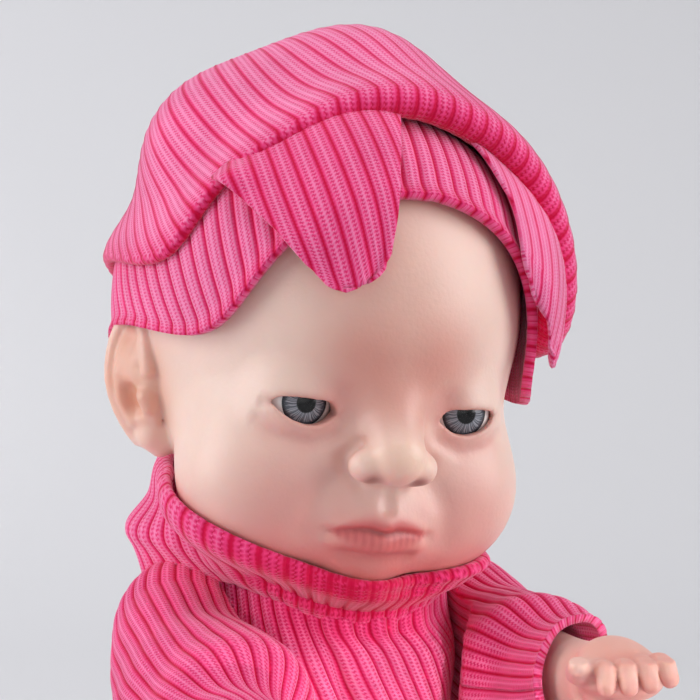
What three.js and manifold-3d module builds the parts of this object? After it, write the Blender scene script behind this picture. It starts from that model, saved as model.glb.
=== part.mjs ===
// A newborn doll in a rib-knit romper and hat, sitting with its legs forward on the plane z = 0.
// Millimetres, +Z up. The doll faces -Y and its left side is +X.
import * as THREE from 'three';
import { mergeVertices } from 'three/addons/utils/BufferGeometryUtils.js';
import Module from 'manifold-3d';

// Driving dimensions, in millimetres and degrees

// Fits and materials
const clearance = 0.3;
const turningGap = 0.4;
const facetAllowance = 0.4;
const vinylWall = 2.2;
const knitThickness = 2;
const knitEase = 0.5;

// Trunk: its height and its widths and depths at four levels
const trunkHeight = 72.2;
const hipWidth = 35;
const hipDepth = 34;
const bellyWidth = 35.6;
const bellyDepth = 36;
const chestWidth = 31;
const chestDepth = 28;
const neckBaseWidth = 27;
const neckBaseDepth = 27;
const sideSeamForward = 5;

// Neck, shoulder and hip joints: a plug through a hole, held by a lip inside
const neckRadius = 9;
const neckLip = 1.4;
const neckBore = 6;
const lipThickness = 1.6;
const shoulderDrop = 9.1;
const shoulderPlug = 3.7;
const shoulderLip = 1.2;
const hipHeight = 17.6;
const hipForward = 4;
const hipPlug = 6;
const hipLip = 1.6;

// Arms
const shoulderRadius = 9;
const shoulderReach = 4.4;
const elbowRadius = 8;
const wristRadius = 6;
const upperArmLength = 26;
const foreArmLength = 24;
const armSplay = 10;
const elbowBend = 12;
const foreArmLift = 22;
const leftArmDrop = 11;
const rightArmDrop = 24;
const palmLength = 13;
const palmWidth = 13;
const palmThickness = 8;
const fingerRadius = 1.9;
const fingerLength = 7;
const leftSleeveLength = 25;
const rightSleeveLength = 38;
const sleeveFlare = 4.6;
const sleeveFold = 0.9;
const sleeveFoldPitch = 13;

// Legs
const thighRadius = 13.4;
const thighReach = 8;
const kneeRadius = 11.5;
const ankleRadius = 8.5;
const thighLength = 44;
const shinLength = 34;
const legSplay = 19;
const kneeBend = 30;
const footLength = 29;
const footWidth = 15;
const footThickness = 12;
const footRise = 4;
const toeRadius = 2.4;
const trouserLength = 70;
const trouserFlare = 3.4;
const trouserFold = 1;
const trouserFoldPitch = 15;

// Head, in its own frame: x to the doll's left, y to the back, z up, from the middle of the head
const neckRise = 36.8;
const headForward = 1.7;
const headPitch = 5;
const headTilt = 6;
const craniumWidth = 61;
const craniumDepth = 72;
const craniumTall = 66;
const craniumBack = 4;
const craniumRise = 7;
const jawWidth = 48;
const jawDepth = 40;
const jawTall = 37.2;
const jawForward = 9;
const jawDrop = 12;
const cheekRadius = 14;
const cheekSpread = 27;
const cheekForward = 15.4;
const cheekDrop = 17.4;
const browForward = 28;
const browDrop = 2;
const noseRadius = 4.4;
const noseReach = 37.6;
const noseDrop = 10.2;
const nostrilSpread = 8.4;
const muzzleWidth = 19;
const muzzleDepth = 17.2;
const muzzleTall = 14;
const muzzleForward = 24;
const muzzleDrop = 20.4;
const chinRadius = 6.6;
const chinForward = 22.4;
const chinDrop = 31.6;
const earHeight = 23;
const earWidth = 14;
const earThickness = 5.4;
const earFlare = 18;
const earBack = 5.6;
const earDrop = 7.2;

// Eyes
const eyeRadius = 6;
const eyeSpacing = 26.4;
const eyeDepth = 21.4;
const eyeDrop = 4.5;
const eyeOpeningWidth = 9.6;
const eyeOpeningHeight = 4.6;
const lidThickness = 1;
const irisRadius = 3.8;
const irisThickness = 0.5;

// Hat: a loose crown over a band, with petals sewn into the seam between them
const hatRadius = 37.5;
const hatTiltBack = 43;
const hatLean = 5;
const hatAside = 1.6;
const hatBack = 4;
const hatRise = 10;
const hatPeak = 4;
const bandHeight = 14.5;
const hemRoll = 0.8;
const foreheadHemAngle = 101.5;
const napeHemAngle = 88.5;
const rightTempleTurn = 69;
const rightTempleDip = 26;
const leftTempleTurn = 77;
const leftTempleDip = 27;
const templeWidth = 35;
const crownRoll = 1.6;
const crownLip = 2;
const petalSpacing = 65;
const frontPairTurn = 2.5;
const backPetalTurn = 180;
const petalLength = 28;
const petalWidth = 27;
const petalLean = 12;
const petalThickness = 1.8;
const pullLean = 14;
const pullLength = 70;

// Collar: it hugs the jaw, far below the middle of the head at the chin and less so at the nape
const collarFrontDrop = 32.1;
const collarLeftDrop = 26.5;
const collarRightDrop = 19.5;
const collarBackDrop = 16.5;
const collarLedge = 5;
const collarSlouch = 5;

// Mesh fineness, in steps
const trunkSteps = 20;
const limbSteps = 12;
const garmentSteps = 14;
const garmentRings = 8;
const hatSteps = 36;
const collarSteps = 32;
const bisections = 22;

const wasm = await Module();
wasm.setup();
const { Manifold, Mesh: SolidMesh } = wasm;
const degrees = THREE.MathUtils.degToRad;
const lerp = THREE.MathUtils.lerp;
const vector = (x, y, z) => new THREE.Vector3(x, y, z);

// Solids

// A closed geometry as a solid that can be joined and cut; faces that point inwards are turned round.
function solidOf(geometry) {
  const bare = new THREE.BufferGeometry();
  bare.setAttribute('position', geometry.getAttribute('position').clone());
  if (geometry.index) {
    bare.setIndex(geometry.index.clone());
  }
  const merged = mergeVertices(bare, 1e-4);
  const corners = Array.from(merged.index.array);
  const triVerts = [];
  for (let i = 0; i < corners.length; i += 3) {
    const [a, b, c] = corners.slice(i, i + 3);
    if (a !== b && b !== c && c !== a) {
      triVerts.push(a, b, c);
    }
  }
  const vertProperties = new Float32Array(merged.attributes.position.array);
  const make = () =>
    new Manifold(new SolidMesh({ numProp: 3, vertProperties, triVerts: new Uint32Array(triVerts) }));
  const solid = make();
  if (solid.volume() >= 0) {
    return solid;
  }
  for (let i = 0; i < triVerts.length; i += 3) {
    [triVerts[i + 1], triVerts[i + 2]] = [triVerts[i + 2], triVerts[i + 1]];
  }
  return make();
}

function geometryOf(solid) {
  const mesh = solid.getMesh();
  const geometry = new THREE.BufferGeometry();
  geometry.setAttribute('position', new THREE.BufferAttribute(new Float32Array(mesh.vertProperties), 3));
  geometry.setIndex(new THREE.BufferAttribute(new Uint32Array(mesh.triVerts), 1));
  const flat = geometry.toNonIndexed();
  flat.computeVertexNormals();
  return flat;
}

const join = (first, ...others) => others.reduce((whole, other) => whole.add(other), first);
const cut = (first, ...others) => others.reduce((whole, other) => whole.subtract(other), first);

// A solid made of rings of points, each with as many points.
// Its ends are fanned, or the last ring meets the first.
function loft(rings, endless = false) {
  const around = rings[0].length;
  const points = rings.flat();
  const faces = [];
  const last = endless ? rings.length : rings.length - 1;
  for (let r = 0; r < last; r += 1) {
    const here = r * around;
    const there = ((r + 1) % rings.length) * around;
    for (let k = 0; k < around; k += 1) {
      const next = (k + 1) % around;
      faces.push(here + k, here + next, there + next);
      faces.push(here + k, there + next, there + k);
    }
  }
  if (!endless) {
    fan(points, faces, 0, around, true);
    fan(points, faces, (rings.length - 1) * around, around, false);
  }
  return solidOf(meshOf(points, faces));
}

function fan(points, faces, start, count, turned) {
  const middle = vector(0, 0, 0);
  for (let k = 0; k < count; k += 1) {
    middle.addScaledVector(points[start + k], 1 / count);
  }
  points.push(middle);
  const tip = points.length - 1;
  for (let k = 0; k < count; k += 1) {
    const next = (k + 1) % count;
    const [a, b] = turned ? [next, k] : [k, next];
    faces.push(start + a, start + b, tip);
  }
}

function meshOf(points, faces) {
  const geometry = new THREE.BufferGeometry().setFromPoints(points);
  geometry.setIndex(faces);
  return geometry;
}

// A sheet with an outer and an inner grid of points, closed round its four edges.
function slab(outer, inner) {
  const rows = outer.length;
  const columns = outer[0].length;
  const points = [...outer.flat(), ...inner.flat()];
  const at = (side, r, c) => side * rows * columns + r * columns + c;
  const faces = [];
  const quad = (a, b, c, d) => faces.push(a, b, c, a, c, d);
  for (let r = 0; r + 1 < rows; r += 1) {
    for (let c = 0; c + 1 < columns; c += 1) {
      quad(at(0, r, c), at(0, r, c + 1), at(0, r + 1, c + 1), at(0, r + 1, c));
      quad(at(1, r, c), at(1, r + 1, c), at(1, r + 1, c + 1), at(1, r, c + 1));
    }
  }
  for (let c = 0; c + 1 < columns; c += 1) {
    quad(at(0, 0, c), at(1, 0, c), at(1, 0, c + 1), at(0, 0, c + 1));
    quad(at(0, rows - 1, c + 1), at(1, rows - 1, c + 1), at(1, rows - 1, c), at(0, rows - 1, c));
  }
  for (let r = 0; r + 1 < rows; r += 1) {
    quad(at(0, r + 1, 0), at(1, r + 1, 0), at(1, r, 0), at(0, r, 0));
    quad(at(0, r, columns - 1), at(1, r, columns - 1), at(1, r + 1, columns - 1), at(0, r + 1, columns - 1));
  }
  return solidOf(meshOf(points, faces));
}

function moved(geometry, position, rotation = new THREE.Euler()) {
  return geometry.applyMatrix4(new THREE.Matrix4().makeRotationFromEuler(rotation).setPosition(position));
}

// A round bar along an axis, from one distance to another.
function bar(axis, radius, from, to, centre = vector(0, 0, 0), steps = 16) {
  const along = axis.clone().normalize();
  const geometry = new THREE.CylinderGeometry(radius, radius, Math.abs(to - from), steps);
  geometry.applyQuaternion(new THREE.Quaternion().setFromUnitVectors(vector(0, 1, 0), along));
  const middle = centre.clone().addScaledVector(along, (from + to) / 2);
  return solidOf(geometry.translate(middle.x, middle.y, middle.z));
}

// A box that fills everything on one side of a plane across X.
function sideBlock(plane) {
  const reach = 400;
  return solidOf(new THREE.BoxGeometry(reach, reach, reach).translate(plane + reach / 2, 0, 0));
}

function ball(centre, radii, rotation = new THREE.Euler(), across = 16, up = 12) {
  const geometry = new THREE.SphereGeometry(1, across, up).scale(radii.x, radii.y, radii.z);
  return solidOf(moved(geometry, centre, rotation));
}

// Forms given by a distance, which is negative inside them

function ellipsoidDistance(p, centre, radii) {
  const q = p.clone().sub(centre);
  const near = q.clone().divide(radii).length();
  const slope = q.clone().divide(radii).divide(radii).length();
  return slope < 1e-9 ? -Math.min(radii.x, radii.y, radii.z) : (near * (near - 1)) / slope;
}

const ballDistance = (p, centre, radius) => p.distanceTo(centre) - radius;

function barDistance(p, a, b, radiusA, radiusB) {
  const along = b.clone().sub(a);
  const share = THREE.MathUtils.clamp(p.clone().sub(a).dot(along) / along.lengthSq(), 0, 1);
  return p.distanceTo(a.clone().addScaledVector(along, share)) - lerp(radiusA, radiusB, share);
}

// The smaller of two distances, with the crease between the two forms filled over the given width.
function blended(a, b, width) {
  const share = Math.max(width - Math.abs(a - b), 0) / width;
  return Math.min(a, b) - (share * share * width) / 4;
}

// How far from a point, in one direction, a form's surface lies.
function reachOf(distance, centre, direction, farthest) {
  let inside = 0;
  let outside = farthest;
  for (let i = 0; i < bisections; i += 1) {
    const middle = (inside + outside) / 2;
    const p = centre.clone().addScaledVector(direction, middle);
    if (distance(p) > 0) {
      outside = middle;
    } else {
      inside = middle;
    }
  }
  return (inside + outside) / 2;
}

// A direction by its turn from the front towards the doll's left, and its angle from the pole.
function directionAt(turn, polar) {
  return vector(Math.sin(polar) * Math.sin(turn), -Math.sin(polar) * Math.cos(turn), Math.cos(polar));
}

// Trunk

const trunkBottom = knitEase + knitThickness;
const trunkTop = trunkBottom + trunkHeight;
const shoulderHeight = trunkTop - shoulderDrop;
const headHeight = trunkTop + neckRise;
const ribHeight = trunkBottom + 0.7 * trunkHeight;
const trunkLevels = new THREE.CatmullRomCurve3([
  vector(0.42 * hipWidth, 0.41 * hipDepth, trunkBottom),
  vector(hipWidth / 2, hipDepth / 2, trunkBottom + 0.12 * trunkHeight),
  vector(bellyWidth / 2, bellyDepth / 2, trunkBottom + 0.44 * trunkHeight),
  vector(lerp(bellyWidth, chestWidth, 2 / 3) / 2, lerp(bellyDepth, chestDepth, 2 / 3) / 2, ribHeight),
  vector(chestWidth / 2, chestDepth / 2, trunkBottom + 0.86 * trunkHeight),
  vector(neckBaseWidth / 2, neckBaseDepth / 2, trunkTop),
]);
const trunkProfile = trunkLevels.getPoints(60);

const trunkSquareness = 0.86;

// How far the side of the trunk's hollow lies from the middle plane, at a depth and a height
function hollowSide(y, height) {
  const away = (p) => Math.abs(p.z - height);
  const level = trunkProfile.reduce((best, p) => (away(p) < away(best) ? p : best));
  const power = 2 / trunkSquareness;
  const share = Math.min(Math.abs(y) / (level.y - vinylWall), 1);
  return (level.x - vinylWall) * (1 - share ** power) ** (1 / power);
}

// The same at its nearest to the middle plane, on a circle round a joint's axis
function nearestSide(y, height, radius) {
  const sides = [];
  for (let turn = 0; turn < 2 * Math.PI; turn += Math.PI / 8) {
    sides.push(hollowSide(y + radius * Math.cos(turn), height + radius * Math.sin(turn)));
  }
  return Math.min(...sides);
}

// The trunk grown or shrunk by an amount all over.
function trunkForm(grow, levels = 9, steps = trunkSteps) {
  const rings = trunkLevels.getPoints(levels).map((level, i) => {
    const ends = (i === levels ? grow : 0) - (i === 0 ? grow : 0);
    const ring = [];
    for (let k = 0; k < steps; k += 1) {
      const turn = (2 * Math.PI * k) / steps;
      const squared = (v) => Math.sign(v) * Math.abs(v) ** trunkSquareness;
      const x = (level.x + grow) * squared(Math.sin(turn));
      const y = -(level.y + grow) * squared(Math.cos(turn));
      ring.push(vector(x, y, level.z + ends));
    }
    return ring;
  });
  return loft(rings);
}

const romperInner = knitEase;
const romperOuter = knitEase + knitThickness;
const sleeveGrow = knitEase + knitThickness;
const sleeveSweep = shoulderRadius + sleeveGrow;
const trouserSweep = thighRadius + sleeveGrow;
const widestAt = (low, high) => {
  const between = trunkProfile.filter((p) => p.z > low && p.z < high);
  return Math.max(...between.map((p) => p.x));
};
const shoulderPlane =
  widestAt(shoulderHeight - sleeveSweep, shoulderHeight + sleeveSweep) + romperOuter + turningGap;
const hipPlane = widestAt(hipHeight - trouserSweep, hipHeight + trouserSweep) + romperOuter + turningGap;
const acrossX = vector(1, 0, 0);
const upZ = vector(0, 0, 1);
const shoulderPoint = vector(shoulderPlane + shoulderReach, 0, shoulderHeight);
const hipPoint = vector(hipPlane + thighReach, -hipForward, hipHeight);

function jointHoles(grow) {
  const holes = [bar(upZ, neckRadius + grow, trunkTop - 3 * vinylWall, trunkTop + romperOuter + 1)];
  for (const side of [-1, 1]) {
    const shoulder = vector(0, shoulderPoint.y, shoulderPoint.z);
    const hip = vector(0, hipPoint.y, hipPoint.z);
    holes.push(bar(acrossX, shoulderPlug + grow, 0, side * hipPlane, shoulder));
    holes.push(bar(acrossX, hipPlug + grow, 0, side * (hipPlane + 1), hip));
  }
  return holes;
}

const torsoShell = cut(trunkForm(0), trunkForm(-vinylWall), ...jointHoles(turningGap));

// Romper body: a front and a back panel that meet at side seams in front of the shoulders
const romperShell = cut(
  trunkForm(romperOuter, 9),
  trunkForm(romperInner),
  ...jointHoles(turningGap + knitEase),
);
const seamBlock = (from, to) => {
  const reach = 200;
  return solidOf(new THREE.BoxGeometry(reach, to - from, reach).translate(0, (from + to) / 2, 0));
};
const farAway = 150;
const romperFront = romperShell.intersect(seamBlock(-farAway, -sideSeamForward - clearance / 2));
const romperBack = romperShell.intersect(seamBlock(-sideSeamForward + clearance / 2, farAway));

// Limbs

// A limb: a rounded end at its joint and a bar of changing radius along its path.
function limbForm(path, endRadius, radiusAt, from, to, steps, rings) {
  const all = [];
  for (let i = 0; i <= rings; i += 1) {
    const share = lerp(from, to, i / rings);
    const centre = path.getPointAt(Math.min(share, 1));
    const along = path.getTangentAt(Math.min(share, 1));
    if (share > 1) {
      centre.addScaledVector(along, (share - 1) * path.getLength());
    }
    const side = acrossX.clone().addScaledVector(along, -along.x).normalize();
    const up = side.clone().cross(along);
    const ring = [];
    for (let k = 0; k < steps; k += 1) {
      const turn = (2 * Math.PI * k) / steps;
      const radius = radiusAt(share, turn);
      const outward = side.clone().multiplyScalar(Math.cos(turn)).addScaledVector(up, Math.sin(turn));
      ring.push(centre.clone().addScaledVector(outward, radius));
    }
    all.push(ring);
  }
  const endBall = endRadius + facetAllowance / 4;
  const end = ball(vector(0, 0, 0), vector(endBall, endBall, endBall), turnedToX, steps, 6);
  return join(end, loft(all));
}

const turnedToX = new THREE.Euler(0, 0, Math.PI / 2);

function plugForm(plane, radius, lip, wallAt) {
  const gap = turningGap;
  const lipAt = wallAt - gap - facetAllowance;
  return join(
    bar(acrossX, radius, lipAt - lipThickness, plane + vinylWall),
    bar(acrossX, radius + lip, lipAt - lipThickness, lipAt),
  );
}

// Arm, built for the left side from the middle of its shoulder, reaching forward

const armDirection = (turn, lift) =>
  vector(Math.sin(turn) * Math.cos(lift), -Math.cos(turn) * Math.cos(lift), Math.sin(lift));
const elbow = armDirection(degrees(armSplay), 0).multiplyScalar(upperArmLength);
const foreArmDirection = armDirection(degrees(armSplay - elbowBend), degrees(foreArmLift));
const wrist = elbow.clone().addScaledVector(foreArmDirection, foreArmLength);
const armPath = new THREE.CatmullRomCurve3([vector(0, 0, 0), elbow, wrist]);
const armRadiusAt = (share) => {
  const middle = Math.sin(Math.PI * share) * (elbowRadius - (shoulderRadius + wristRadius) / 2);
  return lerp(shoulderRadius, wristRadius, share) + middle;
};

function handForm() {
  const along = foreArmDirection;
  const across = acrossX.clone().addScaledVector(along, -along.x).normalize();
  const palmAt = wrist.clone().addScaledVector(along, palmLength * 0.42);
  const parts = [ball(palmAt, vector(palmWidth / 2, palmLength * 0.62, palmThickness / 2), undefined, 10, 6)];
  for (let i = 0; i < 4; i += 1) {
    const root = palmAt.clone().addScaledVector(along, palmLength * 0.36);
    root.addScaledVector(across, (i - 1.5) * palmWidth * 0.22);
    parts.push(fingerForm(root, along.clone().add(vector(0, 0, -0.35)).normalize(), fingerLength));
  }
  const thumbRoot = palmAt.clone().addScaledVector(across, -palmWidth * 0.36);
  const thumbAlong = along.clone().addScaledVector(across, -0.7).normalize();
  parts.push(fingerForm(thumbRoot, thumbAlong, fingerLength * 0.9));
  return join(...parts);
}

function fingerForm(root, along, length) {
  const geometry = new THREE.CapsuleGeometry(fingerRadius, length, 2, 5);
  geometry.applyQuaternion(new THREE.Quaternion().setFromUnitVectors(vector(0, 1, 0), along));
  const middle = root.clone().addScaledVector(along, length / 2);
  return solidOf(geometry.translate(middle.x, middle.y, middle.z));
}

const armOutside = sideBlock(-shoulderReach);
const shoulderWallAt = nearestSide(0, shoulderHeight, shoulderPlug + shoulderLip) - shoulderPoint.x;
const armSkin = join(limbForm(armPath, shoulderRadius, armRadiusAt, 0, 1, limbSteps, 6), handForm());
const armHollow = limbForm(
  armPath,
  shoulderRadius - vinylWall,
  (share) => armRadiusAt(share) - vinylWall,
  0,
  0.94,
  limbSteps - 4,
  4,
);
const armHollowOutside = sideBlock(-shoulderReach + vinylWall);
const armBore = bar(acrossX, shoulderPlug - vinylWall, -shoulderPoint.x, 0);
const armShell = cut(
  join(
    armSkin.intersect(armOutside),
    plugForm(-shoulderReach, shoulderPlug, shoulderLip, shoulderWallAt),
  ),
  armHollow.intersect(armHollowOutside),
  armBore,
);

// Sleeve round the arm: soft folds cross it, and it opens wider at the hem
const sleeveRadiusAt = (end, grow) => (share, turn) => {
  const folds = sleeveFold * Math.sin((2 * Math.PI * share * armPath.getLength()) / sleeveFoldPitch + turn);
  const opening = Math.min(share / end, 1);
  return armRadiusAt(share) + grow + sleeveFlare * opening + folds * Math.min(3 * share, 1);
};

function sleeveForm(length) {
  const end = length / armPath.getLength();
  const innerRadius = shoulderRadius + knitEase;
  return cut(
    limbForm(armPath, sleeveSweep, sleeveRadiusAt(end, sleeveGrow), 0, end, garmentSteps, garmentRings),
    limbForm(armPath, innerRadius, sleeveRadiusAt(end, knitEase), 0, end + 0.2, garmentSteps, garmentRings),
  ).intersect(armOutside);
}

// Leg, built for the left side from the middle of its hip, reaching forward

const knee = armDirection(degrees(legSplay), 0).multiplyScalar(thighLength);
const shinDirection = armDirection(degrees(legSplay - kneeBend), degrees(-4));
const ankle = knee.clone().addScaledVector(shinDirection, shinLength);
const legPath = new THREE.CatmullRomCurve3([vector(0, 0, 0), knee, ankle]);
const legRadiusAt = (share) => {
  const middle = Math.sin(Math.PI * share) * (kneeRadius - (thighRadius + ankleRadius) / 2);
  return lerp(thighRadius, ankleRadius, share) + middle;
};

function footForm() {
  const middle = ankle.clone().addScaledVector(shinDirection, footThickness * 0.3);
  middle.z += footRise;
  const lean = new THREE.Euler(degrees(-18), 0, 0);
  const parts = [ball(middle, vector(footWidth / 2, footThickness / 2, footLength / 2), lean, 10, 8)];
  for (let i = 0; i < 5; i += 1) {
    const toeHeight = footLength * 0.47 - 0.5 * (i - 1) ** 2;
    const offset = vector((i - 2) * footWidth * 0.19, -footThickness * 0.12, toeHeight).applyEuler(lean);
    const size = toeRadius * (i === 0 ? 1.35 : 1);
    parts.push(ball(offset.add(middle), vector(size, size, size), undefined, 6, 4));
  }
  return join(...parts);
}

const legOutside = sideBlock(-thighReach);
const hipWallAt = nearestSide(-hipForward, hipHeight, hipPlug + hipLip) - hipPoint.x;
const legSkin = join(limbForm(legPath, thighRadius, legRadiusAt, 0, 1, limbSteps, 6), footForm());
const legHollow = limbForm(
  legPath,
  thighRadius - vinylWall,
  (share) => legRadiusAt(share) - vinylWall,
  0,
  0.94,
  limbSteps - 4,
  4,
);
const legHollowOutside = sideBlock(-thighReach + vinylWall);
const legBore = bar(acrossX, hipPlug - vinylWall, -hipPoint.x, 0);
const legShell = cut(
  join(legSkin.intersect(legOutside), plugForm(-thighReach, hipPlug, hipLip, hipWallAt)),
  legHollow.intersect(legHollowOutside),
  legBore,
);
const trouserEnd = trouserLength / legPath.getLength();
const trouserRadiusAt = (grow) => (share, turn) => {
  const distance = share * legPath.getLength();
  const folds = trouserFold * Math.sin((2 * Math.PI * distance) / trouserFoldPitch + 2 * turn);
  const opening = Math.sin(Math.PI * Math.min(share / trouserEnd, 1));
  const looseness = trouserFold * Math.min(3 * share, 1) + trouserFlare * opening * share;
  return legRadiusAt(share) + grow + looseness + folds * share;
};
const trouserInnerRadius = thighRadius + knitEase;
const trouserTube = cut(
  limbForm(legPath, trouserSweep, trouserRadiusAt(sleeveGrow), 0, trouserEnd, garmentSteps, garmentRings),
  limbForm(
    legPath,
    trouserInnerRadius,
    trouserRadiusAt(knitEase),
    0,
    trouserEnd + 0.2,
    garmentSteps,
    garmentRings,
  ),
).intersect(legOutside);

// Head

const craniumCentre = vector(0, craniumBack, craniumRise);
const craniumRadii = vector(craniumWidth / 2, craniumDepth / 2, craniumTall / 2);
const mirrored = (p) => vector(Math.abs(p.x), p.y, p.z);
const eyeCentre = vector(eyeSpacing / 2, -eyeDepth, -eyeDrop);
const noseTip = vector(0, -noseReach + noseRadius, -noseDrop);
const jawCentre = vector(0, -jawForward, -jawDrop);
const jawRadii = vector(jawWidth / 2, jawDepth / 2, jawTall / 2);
const cheekCentre = vector(cheekSpread / 2, -cheekForward, -cheekDrop);
const chinCentre = vector(0, -chinForward, -chinDrop + chinRadius);
const muzzleCentre = vector(0, -muzzleForward, -muzzleDrop);
const muzzleRadii = vector(muzzleWidth / 2, muzzleDepth / 2, muzzleTall / 2);
const wingCentre = vector(nostrilSpread / 2, noseTip.y + 0.4 * noseRadius, noseTip.z - 0.5 * noseRadius);
const browHigh = vector(0, -browForward, -browDrop);

// The bare head, without ears or neck
function faceDistance(point) {
  const p = mirrored(point);
  let d = ellipsoidDistance(p, craniumCentre, craniumRadii);
  d = blended(d, ellipsoidDistance(p, jawCentre, jawRadii), 8);
  d = blended(d, ballDistance(p, cheekCentre, cheekRadius), 5);
  d = blended(d, ellipsoidDistance(p, muzzleCentre, muzzleRadii), 4);
  d = blended(d, ballDistance(p, chinCentre, chinRadius), 4);
  d = blended(d, ballDistance(p, eyeCentre, eyeRadius + clearance + lidThickness), 3);
  d = blended(d, barDistance(p, browHigh, noseTip, noseRadius * 0.6, noseRadius), 4);
  return blended(d, ballDistance(p, wingCentre, noseRadius * 0.66), 2);
}

// The same without features, for the hollow inside
function skullDistance(point) {
  const p = mirrored(point);
  const d = blended(
    ellipsoidDistance(p, craniumCentre, craniumRadii),
    ellipsoidDistance(p, jawCentre, jawRadii),
    8,
  );
  return blended(d, ballDistance(p, cheekCentre, cheekRadius), 5) + vinylWall;
}

const earCentre = (side) => vector((side * (craniumWidth + earThickness / 4)) / 2, earBack, -earDrop);
const earTurn = (side) => new THREE.Euler(degrees(-8), 0, -side * degrees(earFlare));
const earRadii = vector(earThickness / 2, earWidth / 2, earHeight / 2);

function earDistance(p, side) {
  const q = p.clone().sub(earCentre(side));
  const back = new THREE.Quaternion().setFromEuler(earTurn(side)).invert();
  return ellipsoidDistance(q.applyQuaternion(back), vector(0, 0, 0), earRadii);
}

const headDistance = (p) => Math.min(faceDistance(p), earDistance(p, -1), earDistance(p, 1));

// Rings round a form from its top to its bottom, closer together where the face is.
function roundForm(distance, centre, columns, polars, crowding) {
  const rings = polars.map((polar) => {
    const ring = [];
    for (let k = 0; k < columns; k += 1) {
      const even = (2 * Math.PI * k) / columns;
      const direction = directionAt(even - crowding * Math.sin(even), polar);
      const reach = reachOf(distance, centre, direction, 2 * craniumDepth);
      ring.push(centre.clone().addScaledVector(direction, reach));
    }
    return ring;
  });
  return loft(rings);
}

function steps(from, to, count) {
  return Array.from({ length: count }, (_, i) => degrees(lerp(from, to, i / count)));
}

const headMiddle = vector(0, -1, -2);
const facePolars = [...steps(3, 72, 6), ...steps(72, 140, 15), ...steps(140, 178, 4)];
const skullPolars = steps(6, 190, 9);
const headSkin = roundForm(faceDistance, headMiddle, 38, facePolars, 0.55);
const headHollow = roundForm(skullDistance, headMiddle, 16, skullPolars, 0);

// The head's place on the body
const headGroup = new THREE.Group();
headGroup.position.set(0, -headForward, headHeight);
headGroup.rotation.set(degrees(headPitch), degrees(headTilt), 0, 'YXZ');
headGroup.updateMatrix();
const intoHead = headGroup.matrix.clone().invert();

// A bar that stands upright on the body, given in the head's frame
function uprightBar(radius, from, to) {
  const geometry = new THREE.CylinderGeometry(radius, radius, to - from, 20).rotateX(Math.PI / 2);
  return solidOf(geometry.translate(0, 0, (from + to) / 2).applyMatrix4(intoHead));
}

const neckLipTop = trunkTop - vinylWall - turningGap;
const neckInHead = headHeight - 16;
const neckStub = join(
  uprightBar(neckRadius, neckLipTop - lipThickness, neckInHead - 8),
  uprightBar(neckRadius + neckLip, neckLipTop - lipThickness, neckLipTop),
);
const neckHollow = uprightBar(neckBore, neckLipTop - lipThickness - 1, neckInHead);

// The opening between the lids, an almond as seen from the front
function eyeOpening(side) {
  const half = eyeOpeningWidth / 2;
  const rise = eyeOpeningHeight / 2;
  const almond = new THREE.Shape();
  almond.moveTo(-half, 0);
  almond.quadraticCurveTo(0, 2 * rise, half, 0);
  almond.quadraticCurveTo(0, -2 * rise, -half, 0);
  const depth = eyeDepth;
  const geometry = new THREE.ExtrudeGeometry(almond, { depth, bevelEnabled: false, curveSegments: 8 });
  geometry.rotateX(Math.PI / 2);
  return solidOf(geometry.translate(side * eyeCentre.x, eyeCentre.y, eyeCentre.z));
}

const eyePlace = (side) => vector(side * eyeCentre.x, eyeCentre.y, eyeCentre.z);
const socketRadius = eyeRadius + clearance;
const ears = [-1, 1].map((side) => {
  const shell = ball(earCentre(side), earRadii, earTurn(side), 14, 10);
  const dish = vector(side * earThickness * 0.62, -earWidth * 0.06, earHeight * 0.04);
  dish.applyEuler(earTurn(side));
  const dishRadii = vector(earThickness * 0.42, earWidth * 0.3, earHeight * 0.3);
  return cut(shell, ball(earCentre(side).add(dish), dishRadii, earTurn(side), 8, 6));
});
const sockets = [-1, 1].map((side) => {
  const round = vector(socketRadius, socketRadius, socketRadius);
  return join(ball(eyePlace(side), round, undefined, 14, 8), eyeOpening(side));
});
const headShell = cut(join(headSkin, ...ears, neckStub), headHollow, neckHollow, ...sockets);

// Eyes: a white body with a flat front, a coloured disc on it and a clear dome over that

const irisFront = Math.sqrt(eyeRadius ** 2 - irisRadius ** 2) - irisThickness;
const frontBlock = (from, to) => {
  const reach = 60;
  return solidOf(new THREE.BoxGeometry(reach, to - from, reach).translate(0, -(from + to) / 2, 0));
};
const eyeBall = (radius) => solidOf(new THREE.SphereGeometry(radius, 16, 10).rotateX(Math.PI / 2));
const layerGap = clearance / 3;
const eyeWhite = cut(eyeBall(eyeRadius), frontBlock(irisFront - layerGap, 3 * eyeRadius));
const irisBack = irisFront + irisThickness;
const irisDisc = bar(vector(0, -1, 0), irisRadius - layerGap, irisFront, irisBack, undefined, 18);
const corneaFrom = irisBack + layerGap;
const corneaBlock = frontBlock(corneaFrom, corneaFrom + irisRadius);
const corneaDome = eyeBall(eyeRadius + layerGap / 2).intersect(corneaBlock);

// Hat, in a frame at the middle of the hat with its axis through the back of the crown

const hatGroup = new THREE.Group();
hatGroup.position.set(hatAside, hatBack, hatRise);
hatGroup.rotation.set(degrees(-hatTiltBack), degrees(hatLean), 0, 'YXZ');
hatGroup.updateMatrix();
const pullDirection = vector(0, Math.sin(degrees(pullLean)), Math.cos(degrees(pullLean)));

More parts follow.
